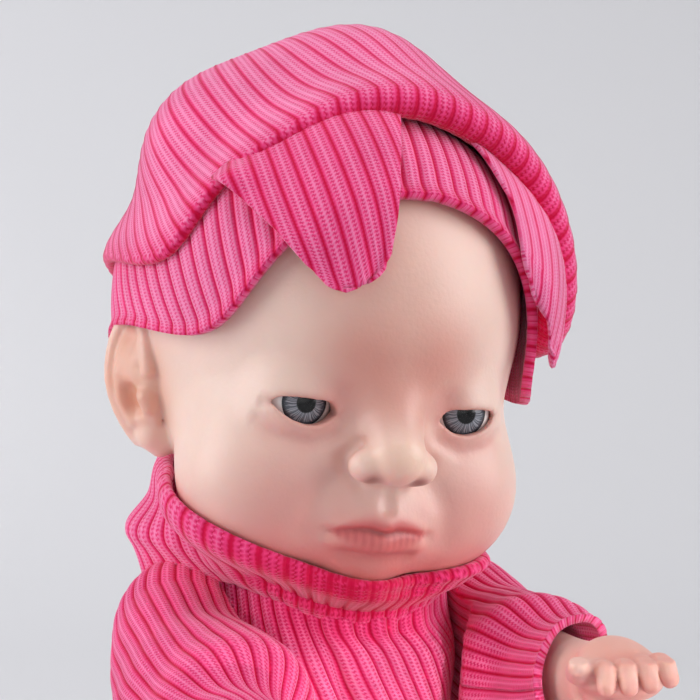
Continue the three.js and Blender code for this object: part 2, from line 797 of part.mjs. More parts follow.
// How far from its middle the inside of the hat has to stay to clear the head, here and all along the pull.
function clearOfHead(direction, ease) {
  const inHead = direction.clone().applyEuler(hatGroup.rotation);
  let reach = reachOf(headDistance, hatGroup.position, inHead, 2 * craniumDepth) + ease;
  const clear = (r) => {
    for (let pull = 0; pull <= pullLength / 2; pull += 3) {
      const p = hatGroup.position.clone().addScaledVector(inHead, r).addScaledVector(pullDirection, pull);
      if (headDistance(p) < ease) {
        return false;
      }
    }
    return true;
  };
  while (!clear(reach)) {
    reach += 0.15;
  }
  return reach;
}

// The hem's angle from the axis: it arches over the forehead and reaches down at the temples.
function hemPolar(anyTurn) {
  const turn = Math.atan2(Math.sin(anyTurn), Math.cos(anyTurn));
  const lowest = turn < 0 ? -rightTempleTurn : leftTempleTurn;
  const depth = turn < 0 ? rightTempleDip : leftTempleDip;
  const temple = depth * Math.exp(-(((turn - degrees(lowest)) / degrees(templeWidth)) ** 2));
  return degrees(lerp(napeHemAngle, foreheadHemAngle, (1 + Math.cos(turn)) / 2) + temple);
}

const seamPolar = (turn) => hemPolar(turn) - bandHeight / hatRadius;
const seamGap = clearance / hatRadius;

// The radius of the hat's inside on the band and petals, evened out round the head.
function bandInside(turn, polar) {
  let widest = 0;
  for (const aside of [-0.14, -0.07, 0, 0.07, 0.14]) {
    const near = clearOfHead(directionAt(turn + aside, polar), knitEase) - 14 * aside * aside;
    widest = Math.max(widest, near);
  }
  return widest;
}

const bandRows = 4;
const bandTable = new Map();
for (let k = 0; k < hatSteps; k += 1) {
  const turn = (2 * Math.PI * k) / hatSteps;
  const insides = [];
  for (let r = 0; r <= bandRows; r += 1) {
    insides.push(bandInside(turn, lerp(hemPolar(turn), seamPolar(turn), r / bandRows)));
  }
  bandTable.set(k, insides);
}
for (let pass = 0; pass < 4; pass += 1) {
  const before = new Map([...bandTable].map(([k, insides]) => [k, [...insides]]));
  for (let k = 0; k < hatSteps; k += 1) {
    const last = before.get((k + hatSteps - 1) % hatSteps);
    const next = before.get((k + 1) % hatSteps);
    const evened = (inside, row) => Math.max(inside, (last[row] + 2 * inside + next[row]) / 4);
    bandTable.set(k, before.get(k).map(evened));
  }
}
const hatPoint = (turn, polar, radius) => directionAt(turn, polar).multiplyScalar(radius);
const hatTurn = (k) => (2 * Math.PI * k) / hatSteps;

// The inside of the band as built, between its rings and steps
function builtInside(turn, polar) {
  const place = ((turn / (2 * Math.PI)) * hatSteps + hatSteps) % hatSteps;
  const low = bandTable.get(Math.floor(place) % hatSteps);
  const high = bandTable.get((Math.floor(place) + 1) % hatSteps);
  const upBand = (hemPolar(turn) - polar) / (hemPolar(turn) - seamPolar(turn));
  const height = THREE.MathUtils.clamp(upBand, 0, 1) * bandRows;
  const row = Math.min(Math.floor(height), bandRows - 1);
  const between = (insides) => lerp(insides[row], insides[row + 1], height - row);
  return lerp(between(low), between(high), place - Math.floor(place));
}

function bandRing(row, grow, lift = 0) {
  return Array.from({ length: hatSteps }, (_, k) => {
    const turn = hatTurn(k);
    const polar = lerp(hemPolar(turn), seamPolar(turn), row / bandRows);
    return hatPoint(turn, polar - lift, bandTable.get(k)[row] + grow);
  });
}

const hemLift = hemRoll / hatRadius;
const hatBand = loft(
  [
    bandRing(0, knitThickness / 2, -hemLift),
    bandRing(0, knitThickness + hemRoll),
    bandRing(0, knitThickness + hemRoll, 2 * hemLift),
    bandRing(1, knitThickness),
    bandRing(2, knitThickness),
    bandRing(3, knitThickness),
    bandRing(4, knitThickness, -seamGap / 2),
    bandRing(4, 0, -seamGap / 2),
    bandRing(3, 0),
    bandRing(2, 0),
    bandRing(1, 0),
    bandRing(0, 0),
  ],
  true,
);

// Crown: it bulges over the seam, stands up in a soft peak on top and is gathered at the axis.
const peakDirection = vector(0.02, -0.05, 1).normalize();
const gatherCount = 12;

function crownOutside(turn, share) {
  const polar = Math.max(share, 0.06) * (seamPolar(turn) - seamGap / 2);
  const direction = directionAt(turn, polar);
  const inHead = direction.clone().applyEuler(hatGroup.rotation);
  const peak = hatPeak * Math.exp(-((Math.acos(inHead.dot(peakDirection)) / 0.32) ** 2));
  const roll = crownRoll * Math.exp(-(((1 - share) / 0.1) ** 2));
  const gather = 0.5 * Math.cos(gatherCount * turn) * Math.exp(-((share / 0.22) ** 2));
  const skull = reachOf(faceDistance, hatGroup.position, inHead, 2 * craniumDepth);
  const loose = Math.max(hatRadius, skull + knitEase + knitThickness + 1);
  return direction.multiplyScalar(loose + peak + roll + gather);
}

function crownRing(share, inward) {
  return Array.from({ length: hatSteps }, (_, k) => {
    const p = crownOutside(hatTurn(k), share);
    return p.setLength(p.length() - inward);
  });
}

// The edge of the crown at the seam, which reaches in to the band
function crownRim(grow) {
  return Array.from({ length: hatSteps }, (_, k) => {
    const turn = hatTurn(k);
    return hatPoint(turn, seamPolar(turn) - seamGap / 2, bandTable.get(k)[bandRows] + grow);
  });
}

const crownShares = [0.06, 0.2, 0.36, 0.52, 0.68, 0.8, 0.9, 0.96];
const crownInnerShares = crownShares.filter((share) => share < 0.9).toReversed();
const hatCrown = loft([
  ...crownShares.map((share) => crownRing(share, 0)),
  crownRim(knitThickness + crownLip),
  crownRim(0),
  ...crownInnerShares.map((share) => crownRing(share, knitThickness)),
]);

// Petals: each is sewn into the seam and lies over the band, with its round tip past the hem.
function petalForm(middle) {
  const rows = 7;
  const columns = 6;
  const outer = [];
  const inner = [];
  for (let r = 0; r <= rows; r += 1) {
    const along = (0.985 * r) / rows;
    const half = (petalWidth / 2) * (1 - along ** 2.6) ** 0.62;
    const outerRow = [];
    const innerRow = [];
    for (let c = 0; c <= columns; c += 1) {
      const across = (2 * c) / columns - 1;
      const turn = middle + (across * half) / hatRadius + along * degrees(petalLean);
      const polar = seamPolar(turn) + 2 * seamGap + (along * petalLength) / hatRadius;
      const pastHem = (polar - hemPolar(turn)) * hatRadius;
      const drop = THREE.MathUtils.smoothstep(pastHem, petalThickness, bandHeight);
      const overBand = builtInside(turn, polar) + knitThickness + hemRoll + 4 * clearance;
      const overHead = bandInside(turn, polar) + 2 * clearance;
      const inside = Math.max(lerp(overBand, overHead, drop), overHead);
      const thin = petalThickness * (1 - 0.5 * across ** 4);
      outerRow.push(hatPoint(turn, polar, inside + thin));
      innerRow.push(hatPoint(turn, polar, inside));
    }
    outer.push(outerRow);
    inner.push(innerRow);
  }
  return slab(outer, inner);
}

// Collar, in the body's frame round the neck

const headQuaternion = new THREE.Quaternion().setFromEuler(headGroup.rotation).invert();
const headDistanceOnBody = (p) => {
  const fromHead = p.clone().sub(headGroup.position);
  return headDistance(fromHead.applyQuaternion(headQuaternion));
};

const collarStep = (2 * Math.PI) / collarSteps;
const searchStep = 0.2;
const collarEase = knitEase + 2 * facetAllowance;

// A value round the neck from its values in front, at the two sides and at the back
function roundNeck(turn, front, left, back, right = left) {
  const ahead = Math.cos(turn);
  const end = ahead > 0 ? front : back;
  return lerp(Math.sin(turn) > 0 ? left : right, end, ahead * ahead);
}

// The radius just outside the head at a height, coming in from far away, for one step of the collar
function outsideHead(turn, height, ease) {
  const near = [-collarStep / 2, 0, collarStep / 2].map((aside) => {
    const outward = vector(Math.sin(turn + aside), -Math.cos(turn + aside), 0);
    const at = (radius) => outward.clone().multiplyScalar(radius).setZ(height);
    let radius = craniumDepth;
    while (radius > neckRadius && headDistanceOnBody(at(radius)) > ease) {
      radius -= searchStep;
    }
    return radius + searchStep;
  });
  return Math.max(...near);
}

function collarProfile(turn) {
  const drop = roundNeck(turn, collarFrontDrop, collarLeftDrop, collarBackDrop, collarRightDrop);
  const top = headHeight - drop;
  const base = vector(Math.sin(turn), -Math.cos(turn), 0);
  const width = neckBaseWidth / 2 + romperOuter;
  const depth = neckBaseDepth / 2 + romperOuter;
  const foot = 1 / Math.hypot(base.x / width, base.y / depth) + 2 * clearance + 1.4;
  const overSleeve = shoulderHeight + sleeveSweep + turningGap;
  const footHeight = roundNeck(turn, trunkTop - 2, overSleeve, trunkTop - 2);
  const ledgeHeight = roundNeck(turn, trunkTop + 0.6, overSleeve + 4, trunkTop + 5);
  const lip = outsideHead(turn, top, collarEase);
  const middle = (top + ledgeHeight) / 2;
  const waist = Math.max(outsideHead(turn, middle, collarEase), lerp(foot, lip, 0.72));
  const slouch = collarLedge + roundNeck(turn, 0, 0, collarSlouch, collarSlouch);
  const ledge = Math.max(outsideHead(turn, ledgeHeight + knitThickness, collarEase), foot + slouch);
  return [
    [foot, footHeight + 0.8],
    [foot + knitThickness, footHeight],
    [ledge + knitThickness, ledgeHeight - knitThickness / 2],
    [waist + knitThickness + 0.8, middle],
    [lip + knitThickness, top],
    [lip, top + 0.6],
    [waist, middle + 0.8],
    [ledge, ledgeHeight + knitThickness / 2],
    [foot, footHeight + knitThickness],
  ];
}

const collarProfiles = Array.from({ length: collarSteps }, (_, k) => collarProfile(k * collarStep));
const collarRings = collarProfiles[0].map((_, row) =>
  collarProfiles.map((profile, k) => {
    const turn = k * collarStep;
    const [radius, height] = profile[row];
    return vector(radius * Math.sin(turn), -radius * Math.cos(turn), height);
  }),
);
const collarTube = loft(collarRings, true);

// Scene

const vinyl = new THREE.MeshStandardMaterial({ color: 0xeccdbd, roughness: 0.55, metalness: 0 });
const knit = new THREE.MeshStandardMaterial({ color: 0xe8448a, roughness: 0.95, metalness: 0 });
const whiteGloss = new THREE.MeshStandardMaterial({ color: 0xf4f1ee, roughness: 0.2, metalness: 0 });
const grey = new THREE.MeshStandardMaterial({ color: 0x7d828b, roughness: 0.35, metalness: 0 });
const clear = new THREE.MeshStandardMaterial({ color: 0xffffff, roughness: 0.05, metalness: 0 });
clear.opacity = 0.25;
clear.transparent = true;

function piece(name, solid, material, parent) {
  const mesh = new THREE.Mesh(geometryOf(solid), material);
  mesh.name = name;
  parent.add(mesh);
  return mesh;
}

const doll = new THREE.Group();
doll.add(headGroup);
headGroup.add(hatGroup);
piece('torso_shell', torsoShell, vinyl, doll);
piece('romper_front', romperFront, knit, doll);
piece('romper_back', romperBack, knit, doll);
piece('collar', collarTube, knit, doll);
piece('head_shell', headShell, vinyl, headGroup);

const sides = [
  { name: 'right', sign: -1, armDrop: rightArmDrop, sleeveLength: rightSleeveLength },
  { name: 'left', sign: 1, armDrop: leftArmDrop, sleeveLength: leftSleeveLength },
];
for (const { name, sign, armDrop, sleeveLength } of sides) {
  for (const [part, solid, material] of [
    ['eye', eyeWhite, whiteGloss],
    ['iris', irisDisc, grey],
    ['cornea', corneaDome, clear],
  ]) {
    piece(`${part}_${name}`, solid, material, headGroup).position.copy(eyePlace(sign));
  }
  const arm = new THREE.Group();
  arm.position.set(sign * shoulderPoint.x, shoulderPoint.y, shoulderPoint.z);
  arm.rotation.x = degrees(armDrop);
  arm.scale.x = sign;
  doll.add(arm);
  piece(`arm_${name}`, armShell, vinyl, arm);
  piece(`sleeve_${name}`, sleeveForm(sleeveLength), knit, arm);
  const leg = new THREE.Group();
  leg.position.set(sign * hipPoint.x, hipPoint.y, hipPoint.z);
  leg.scale.x = sign;
  doll.add(leg);
  piece(`leg_${name}`, legShell, vinyl, leg);
  piece(`romper_leg_${name}`, trouserTube, knit, leg);
}

piece('hat_band', hatBand, knit, hatGroup);
piece('hat_crown', hatCrown, knit, hatGroup);
const petalTurns = [frontPairTurn - petalSpacing / 2, frontPairTurn + petalSpacing / 2, backPetalTurn];
petalTurns.forEach((turn, i) => {
  piece(`hat_petal_${i + 1}`, petalForm(degrees(turn)), knit, hatGroup);
});

export default doll;
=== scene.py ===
# %% [markdown]
# # A newborn doll in rib knit
#
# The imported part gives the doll's real size and its joints: a trunk, a head, two arms, two legs and
# a hat that lifts off. This lesson dresses that frame. The vinyl is sculpted from distances, because
# a face is all soft unions and dents. The knit is laid out rib by rib, because its ribs are what
# one sees first. Millimetres are easier to think in at this size, so every shape is worked out in
# millimetres and written to the mesh in metres.

# %% The frame
import math

import bpy
import numpy as np
import openvdb
from mathutils import Matrix, Vector


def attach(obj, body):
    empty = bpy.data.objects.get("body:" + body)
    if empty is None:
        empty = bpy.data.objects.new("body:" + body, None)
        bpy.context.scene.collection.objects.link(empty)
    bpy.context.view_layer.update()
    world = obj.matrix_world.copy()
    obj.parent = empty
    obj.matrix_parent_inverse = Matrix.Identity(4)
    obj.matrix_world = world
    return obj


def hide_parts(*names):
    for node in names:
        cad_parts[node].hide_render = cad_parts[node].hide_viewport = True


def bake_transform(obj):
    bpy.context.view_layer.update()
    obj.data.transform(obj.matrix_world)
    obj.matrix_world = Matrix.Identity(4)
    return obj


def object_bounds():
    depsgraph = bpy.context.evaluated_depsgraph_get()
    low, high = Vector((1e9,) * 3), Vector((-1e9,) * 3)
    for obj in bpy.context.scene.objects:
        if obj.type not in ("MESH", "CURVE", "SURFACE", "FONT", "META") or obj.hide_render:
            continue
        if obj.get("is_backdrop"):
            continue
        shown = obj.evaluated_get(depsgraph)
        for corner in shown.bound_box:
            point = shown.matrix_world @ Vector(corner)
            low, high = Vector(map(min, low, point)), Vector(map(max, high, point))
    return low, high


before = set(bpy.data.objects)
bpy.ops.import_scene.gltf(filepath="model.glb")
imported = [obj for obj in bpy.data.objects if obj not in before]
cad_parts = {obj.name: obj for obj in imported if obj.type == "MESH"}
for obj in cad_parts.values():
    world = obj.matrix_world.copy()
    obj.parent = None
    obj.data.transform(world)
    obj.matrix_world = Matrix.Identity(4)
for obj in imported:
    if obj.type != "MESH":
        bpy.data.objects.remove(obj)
cad_low, cad_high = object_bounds()
MM = 0.001
scene = bpy.context.scene
print("CAD box", [[round(x / MM, 1) for x in corner] for corner in (cad_low, cad_high)])

# %% [markdown]
# ## Shader nodes in one line
#
# A material or a world is a graph of nodes. Each node has to be made, set and linked, which takes
# three lines or more when it is written out. Here one call does it all: a node's inputs are given as
# numbers, colours or the outputs that feed them.

# %% Node helpers
def feed(tree, made, inputs):
    """Sets a node's inputs; where the value is an output, it is linked."""
    for key, value in inputs.items():
        if isinstance(value, bpy.types.NodeSocket):
            tree.links.new(value, made.inputs[key])
        else:
            made.inputs[key].default_value = value


def node(tree, kind, inputs=None, **settings):
    made = tree.nodes.new(kind)
    for name, value in settings.items():
        setattr(made, name, value)
    feed(tree, made, inputs or {})
    return made


def maths(tree, operation, *values):
    return node(tree, "ShaderNodeMath", dict(enumerate(values)), operation=operation).outputs[0]


def noise(tree, **inputs):
    return node(tree, "ShaderNodeTexNoise", inputs).outputs["Fac"]


def tinted(tree, colour, scale):
    """A colour times a number."""
    made = node(tree, "ShaderNodeVectorMath", {0: colour, "Scale": scale}, operation="SCALE")
    return made.outputs["Vector"]


def new_material(name):
    material = bpy.data.materials.new(name)
    material.use_nodes = True
    tree = material.node_tree
    return material, tree, tree.nodes["Principled BSDF"]


print("node helpers ready")

# %% [markdown]
# ## Camera and studio
#
# The photograph looks at the doll from its right, 22 degrees off the nose and 5 degrees above the
# horizon, through a long lens. Its light is soft and comes from both sides, so the cheeks are
# brighter than the middle of the face. Two large area lamps give that. Weak ones in front and above
# fill in, and a narrow one lifts the chest out of the head's shadow. The world adds a little light
# from all round; looked at directly, or in a reflection, it is plain grey. The backdrop is a floor
# that rolls up into a wall. Painted shade darkens it towards one side and the top, as the
# photograph's does, and it is clear from behind, so the doll can be looked at from all sides.

# %% Camera
HEAD_MIDDLE = np.array([0.0, -1.7, 111.5])
VIEW_TURN, VIEW_RISE = -22, 5
VIEW_DISTANCE = 520.0
FRAME_WIDTH = 111.3
SENSOR = 36.0
AIM_ASIDE, AIM_ABOVE = 3.75, 0.30


def direction(turn, rise):
    """The way from the doll to where these angles, in degrees, lead; 0, 0 is straight ahead."""
    turn, rise = math.radians(turn), math.radians(rise)
    ahead = math.cos(rise)
    return Vector((math.sin(turn) * ahead, -math.cos(turn) * ahead, math.sin(rise)))


def linked(name, data):
    made = bpy.data.objects.new(name, data)
    scene.collection.objects.link(made)
    return made


def aimed(name, data, back, place):
    """A camera or a lamp at a place in metres, with its back along a direction."""
    made = linked(name, data)
    made.location = place
    made.rotation_mode = "QUATERNION"
    made.rotation_quaternion = back.to_track_quat("Z", "Y")
    return made


view_back = direction(VIEW_TURN, VIEW_RISE)
view_right = Vector((0, 0, 1)).cross(view_back).normalized()
view_up = view_back.cross(view_right)
camera_data = bpy.data.cameras.new("camera")
camera_data.sensor_width = SENSOR
camera_data.lens = SENSOR * VIEW_DISTANCE / FRAME_WIDTH
camera_data.clip_start = 0.01
camera_data.clip_end = 20
aim = Vector(HEAD_MIDDLE) + view_right * AIM_ASIDE + view_up * AIM_ABOVE
scene.camera = aimed("camera", camera_data, view_back, (aim + view_back * VIEW_DISTANCE) * MM)
print("lens", round(camera_data.lens, 1), "mm")

# %% Lamps and world
scene.view_settings.view_transform = "Standard"


def lamp(name, turn, rise, distance, size, power, aim_at=HEAD_MIDDLE, spread=180):
    data = bpy.data.lights.new(name, "AREA")
    data.shape = "RECTANGLE"
    data.size, data.size_y = size
    data.energy = power
    data.spread = math.radians(spread)
    away = direction(turn, rise)
    aimed(name, data, away, Vector(aim_at) * MM + away * distance)


lamp("soft_right", -98, 14, 1.4, (0.95, 1.5), 15.7)
lamp("soft_left", 60, 14, 1.4, (0.95, 1.5), 17.1)
lamp("soft_front", 8, 4, 0.8, (0.5, 0.5), 0.4)
lamp("soft_top", -20, 80, 0.8, (0.6, 0.6), 2.2)
lamp("soft_chest", 6, -3, 0.6, (0.2, 0.04), 0.03, (15, -22, 40), 7.5)

world = bpy.data.worlds.new("studio")
scene.world = world
world.use_nodes = True
tree = world.node_tree
light = tree.nodes["Background"]
feed(tree, light, {"Color": (0.93, 0.94, 1.0, 1), "Strength": 0.27})
seen = node(tree, "ShaderNodeBackground", {"Color": (0.66, 0.66, 0.68, 1)})
ray = node(tree, "ShaderNodeLightPath").outputs
looked_at = maths(tree, "MAXIMUM", ray["Is Camera Ray"], ray["Is Glossy Ray"])
looked_at = maths(tree, "MAXIMUM", looked_at, ray["Is Transmission Ray"])
mixed = node(tree, "ShaderNodeMixShader",
             {"Fac": looked_at, 1: light.outputs["Background"], 2: seen.outputs["Background"]})
feed(tree, tree.nodes["World Output"], {"Surface": mixed.outputs["Shader"]})
print("lamps", len(bpy.data.lights))

# %% Backdrop
FLOOR_NEAR, FLOOR_FAR, WALL_TOP, HALF_WIDTH = -1.2, 0.35, 1.4, 1.6
ROLL, ROLL_STEPS = 0.25, 12


def sweep_backdrop():
    """A floor that rolls up into a wall behind the doll, seen from the photograph's side."""
    profile = [(FLOOR_NEAR, 0.0), (FLOOR_FAR, 0.0)]
    for step in range(1, ROLL_STEPS + 1):
        angle = math.pi / 2 * step / ROLL_STEPS
        profile.append((FLOOR_FAR + ROLL * math.sin(angle), ROLL - ROLL * math.cos(angle)))
    profile.append((FLOOR_FAR + ROLL, WALL_TOP))
    ahead = Vector((-view_back.x, -view_back.y, 0)).normalized()
    points = [ahead * along + view_right * side + Vector((0, 0, height))
              for along, height in profile for side in (-HALF_WIDTH, HALF_WIDTH)]
    faces = [(2 * k, 2 * k + 1, 2 * k + 3, 2 * k + 2) for k in range(len(profile) - 1)]
    mesh = bpy.data.meshes.new("backdrop")
    mesh.from_pydata(points, [], faces)
    mesh.polygons.foreach_set("use_smooth", [True] * len(faces))
    return linked("backdrop", mesh)


backdrop = sweep_backdrop()
backdrop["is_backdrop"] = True
paper, tree, shader = new_material("backdrop_paper")
place = node(tree, "ShaderNodeTexCoord").outputs["Object"]
# Painted shade: the paper is darker towards one side and the top, where the light falls off.
painted_shade_way = (0.42 * view_right.x, 0.42 * view_right.y, 0.6)
way = node(tree, "ShaderNodeVectorMath", {0: place, 1: painted_shade_way}, operation="DOT_PRODUCT")
shade = node(tree, "ShaderNodeMapRange", {
    "Value": way.outputs["Value"], "From Min": 0, "From Max": 0.3, "To Min": 0.71, "To Max": 0.47,
}, clamp=False).outputs["Result"]
feed(tree, shader, {"Base Color": tinted(tree, (1.0, 1.0, 1.03), shade), "Roughness": 0.9})
behind = node(tree, "ShaderNodeNewGeometry").outputs["Backfacing"]
clear = node(tree, "ShaderNodeBsdfTransparent")
mixed = node(tree, "ShaderNodeMixShader",
             {"Fac": behind, 1: shader.outputs["BSDF"], 2: clear.outputs["BSDF"]})
feed(tree, tree.nodes["Material Output"], {"Surface": mixed.outputs["Shader"]})
backdrop.data.materials.append(paper)
print("studio ready")

# %% [markdown]
# ## Clay: sculpting with distances
#
# Moulded vinyl has no edges: cheeks run into the jaw, lids into the brow. Box modelling would need
# hundreds of hand-placed points. Here a block of voxels holds the distance to the form instead, so
# two shapes melt together with one soft minimum, and a crease is a dent along a line that is first
# laid onto the surface. A level set turns the block into quads at the end.

# %% Distances
def bell(away, width):
    """One in the middle, and next to nothing two widths away."""
    return np.exp(-(away / width) ** 2)


def soft_min(a, b, width):
    """The smaller of two distances, with the crease between them filled over a width."""
    share = np.maximum(width - np.abs(a - b), 0) / width
    return np.minimum(a, b) - share * share * width / 4


def ellipsoid(centre, radii):
    def distance(x, y, z):
        parts = [(p - c) / r for p, c, r in zip((x, y, z), centre, radii)]
        near = np.sqrt(sum(u * u for u in parts))
        slope = np.sqrt(sum((u / r) ** 2 for u, r in zip(parts, radii))) + 1e-9
        return near * (near - 1) / slope
    return distance


def rod(points, radii):
    """Rounded bars along a line of points, from radius to radius."""
    def distance(x, y, z):
        best = np.inf
        for a, b, ra, rb in zip(points[:-1], points[1:], radii[:-1], radii[1:]):
            a, along = np.array(a, float), np.array(b, float) - np.array(a, float)
            off = [(p - q, d) for p, q, d in zip((x, y, z), a, along)]
            share = np.clip(sum(p * d for p, d in off) / (along @ along), 0, 1)
            gap = np.sqrt(sum((p - share * d) ** 2 for p, d in off)) - (ra + share * (rb - ra))
            best = np.minimum(best, gap)
        return best
    return distance


def in_frame(x, y, z, middle, axes):
    """The same places measured from a middle along three axes."""
    off = [p - m for p, m in zip((x, y, z), middle)]
    return (sum(p * e for p, e in zip(off, axis)) for axis in axes)


print("distances ready")

# %% Clay
OUTSIDE = 40.0


class Clay:
    """A block of voxels that holds, in millimetres, the distance to a form; it is negative inside."""

    def __init__(self, low, high, voxel):
        self.low = np.array(low, float)
        self.corners = [low, high]
        self.voxel = voxel
        counts = np.ceil((np.array(high, float) - self.low) / voxel).astype(int) + 1
        self.far = np.full(counts, OUTSIDE, np.float32)

    def window(self, points, margin):
        points = np.array(self.corners if points is None else points, float).reshape(-1, 3)
        first = np.floor((points.min(0) - margin - self.low) / self.voxel).astype(int)
        last = np.ceil((points.max(0) + margin - self.low) / self.voxel).astype(int) + 1
        first, last = np.maximum(first, 0), np.minimum(last, self.far.shape)
        axes = [self.low[i] + self.voxel * np.arange(first[i], last[i]) for i in range(3)]
        return tuple(map(slice, first, last)), np.meshgrid(*axes, indexing="ij", sparse=True)

    def add(self, distance, width, points=None, margin=0):
        """Melts a form into the clay, in the whole block or near some points."""
        place, (x, y, z) = self.window(points, margin)
        self.far[place] = soft_min(self.far[place], distance(x, y, z).astype(np.float32), width)

    def cut(self, distance, width, points=None, margin=0):
        place, (x, y, z) = self.window(points, margin)
        self.far[place] = -soft_min(-self.far[place], distance(x, y, z).astype(np.float32), width)

    def dent(self, points, depth, width):
        """Presses a line of points into the surface; a negative depth raises a ridge."""
        laid = self.laid_on(points)
        place, (x, y, z) = self.window(laid, 3.2 * width)
        gap = rod(laid, [0] * len(laid))(x, y, z)
        self.far[place] += (depth * bell(gap, width)).astype(np.float32)

    def at(self, points):
        """The distance at any points, between voxels."""
        p = (np.asarray(points, float) - self.low) / self.voxel
        p = np.clip(p, 0, np.array(self.far.shape) - 1.001)
        i = p.astype(int)
        f = p - i
        total = np.zeros(p.shape[:-1])
        for corner in np.ndindex(2, 2, 2):
            weight = np.prod(np.where(corner, f, 1 - f), axis=-1)
            j = i + corner
            total += weight * self.far[j[..., 0], j[..., 1], j[..., 2]]
        return total

    def slope(self, points):
        points = np.asarray(points, float)
        grown = np.stack([self.at(points + step) - self.at(points - step)
                          for step in np.eye(3) * self.voxel], -1) / (2 * self.voxel)
        return grown / (np.linalg.norm(grown, axis=-1, keepdims=True) + 1e-9)

    def laid_on(self, points):
        points = np.array(points, float)
        for _ in range(6):
            points = points - self.slope(points) * self.at(points)[..., None]
        return points

    def skin(self):
        """The surface as points, in millimetres, and quads."""
        grid = openvdb.FloatGrid(OUTSIDE)
        grid.copyFromArray(self.far)
        points, quads = grid.convertToQuads(0.0)
        return np.asarray(points) * self.voxel + self.low, np.asarray(quads)[:, ::-1]


print("clay ready")

# %% Meshes
def placed(name, points, faces, material, uv=None, colour=None):
    """A smooth mesh from points in millimetres, with its colours and its layout if it has any."""
    mesh = bpy.data.meshes.new(name)
    mesh.from_pydata((np.asarray(points) * MM).tolist(), [], np.asarray(faces).tolist())
    mesh.polygons.foreach_set("use_smooth", np.ones(len(mesh.polygons), bool))
    if uv is not None:
        layer = mesh.uv_layers.new(name="cloth")
        loops = np.empty(len(mesh.loops), int)
        mesh.loops.foreach_get("vertex_index", loops)
        layer.data.foreach_set("uv", np.asarray(uv, np.float32)[loops].ravel())
    if colour is not None:
        # The colours at the points hold paint and painted shade.
        paint_and_shade = mesh.color_attributes.new("paint_and_shade", "FLOAT_COLOR", "POINT")
        full = np.concatenate([colour, np.ones((len(colour), 1))], 1)
        paint_and_shade.data.foreach_set("color", full.astype(np.float32).ravel())
    mesh.validate()
    mesh.materials.append(material)
    return linked(name, mesh)


def grid_quads(rows, columns, closed=True):
    """The numbers of a grid's points, the first column again at the end if closed, and its quads."""
    number = np.arange(rows * columns).reshape(rows, columns)
    if closed:
        number = np.concatenate([number, number[:, :1]], 1)
    corners = [number[:-1, :-1], number[:-1, 1:], number[1:, 1:], number[1:, :-1]]
    return number, np.stack(corners, -1).reshape(-1, 4)


def all_round(count):
    return np.linspace(-math.pi, math.pi, count, endpoint=False)


def turn_about(axis, angle):
    return np.array(Matrix.Rotation(math.radians(angle), 3, axis))


HEAD_TURN = turn_about("Y", 6) @ turn_about("X", 5)
print("meshes ready")

# %% [markdown]
# ## Head
#
# The head leans 5 degrees forward and 6 degrees to its left, so it is sculpted upright in a frame of
# its own and turned at the end. Skull, jaw, cheeks, muzzle, chin and nose are ellipsoids melted
# together; lids lie over the eyes as thin shells with an opening cut through them; lips are ridges,
# and the line between them and all other folds are soft dents along lines. Both halves are the same,
# so x is used without its sign.

# %% Skull, cheeks and nose
EYE = np.array([13.2, -21.4, -4.5])
EYE_RADIUS = 6.0
LID = 0.95
FACE = [(-24, -42, -36), (24, -12, 8)]
NECK_RADIUS = 9

head = Clay((-41, -42, -48), (41, 44, 44), 0.37)


def both(distance):
    """The same form on both sides of the head."""
    return lambda x, y, z: distance(np.abs(x), y, z)


neck = [HEAD_TURN.T @ (np.array([0, 0, height]) - HEAD_MIDDLE) for height in (70.0, 92.0)]
head.add(ellipsoid((0, 4, 7), (30.5, 36, 33)), 1)
head.add(ellipsoid((0, -9, -12), (24, 20, 18.6)), 8)
head.add(both(ellipsoid((13.5, -15.4, -17.4), (14, 14, 14))), 5)
head.add(rod(neck, [NECK_RADIUS] * 2), 3)
FACE_FORMS = [  # middle, radii, and the width over which it melts into the rest
    ((0, -24, -20.4), (9.5, 8.6, 7), 4),  # muzzle
    ((0, -23.4, -26.2), (7.4, 6.6, 6.4), 4),  # chin
    ((9.0, -20.4, -23.0), (8.2, 7.4, 6.2), 5),  # jowls
    (EYE, [EYE_RADIUS + LID] * 3, 3.4),  # lids
]
for middle, radii, width in FACE_FORMS:
    head.add(both(ellipsoid(middle, radii)), width, FACE, 2)
bridge = [(0, -27.4, -1), (0, -30.6, -6.4), (0, -33.2, -10.2)]
head.add(rod(bridge, [2.9, 3.9, 4.5]), 4.2, FACE, 2)
head.add(both(ellipsoid((4.3, -31.5, -12.1), (3.0, 3.5, 2.9))), 1.3, FACE, 2)
for side in (1, -1):
    head.dent(np.array([(8.2, -29, -2.4), (7.4, -29.5, -5.2)]) * (side, 1, 1), 1.1, 2.6)
print("head block", head.far.shape)

# %% Lids, nostrils, lips and folds
UPPER_LID = [(-4.8, -0.9), (-4.4, 0.0), (-3.7, 0.75), (-2.4, 1.15), (0, 1.3),
             (2, 1.3), (3.4, 1.2), (4.3, 0.95), (4.8, 0.6), (5.1, 0.1)]
LOWER_LID = [(-4.8, -0.9), (-4.2, -1.3), (-2.8, -2.3), (-1.4, -2.75), (0, -2.8),
             (2, -2.3), (3.4, -1.55), (4.3, -0.9), (4.8, -0.4), (5.1, 0.1)]
EYE_SLIT = (0.15, 4.95)  # its middle, from the eye's, and half its width
LIP_LINE = [(0, -22.5), (0.9, -22.4), (2.2, -22.15), (3.5, -22.15), (5.5, -22.4), (7.0, -22.65),
            (8.2, -22.9)]
NOSTRIL = (3.7, -34.7, -14.7)
ALAR_CREASE = [(6.4, -31.4, -8.6), (7.9, -30.6, -11.4), (7.7, -30.8, -14.2), (5.6, -31.6, -15.7)]
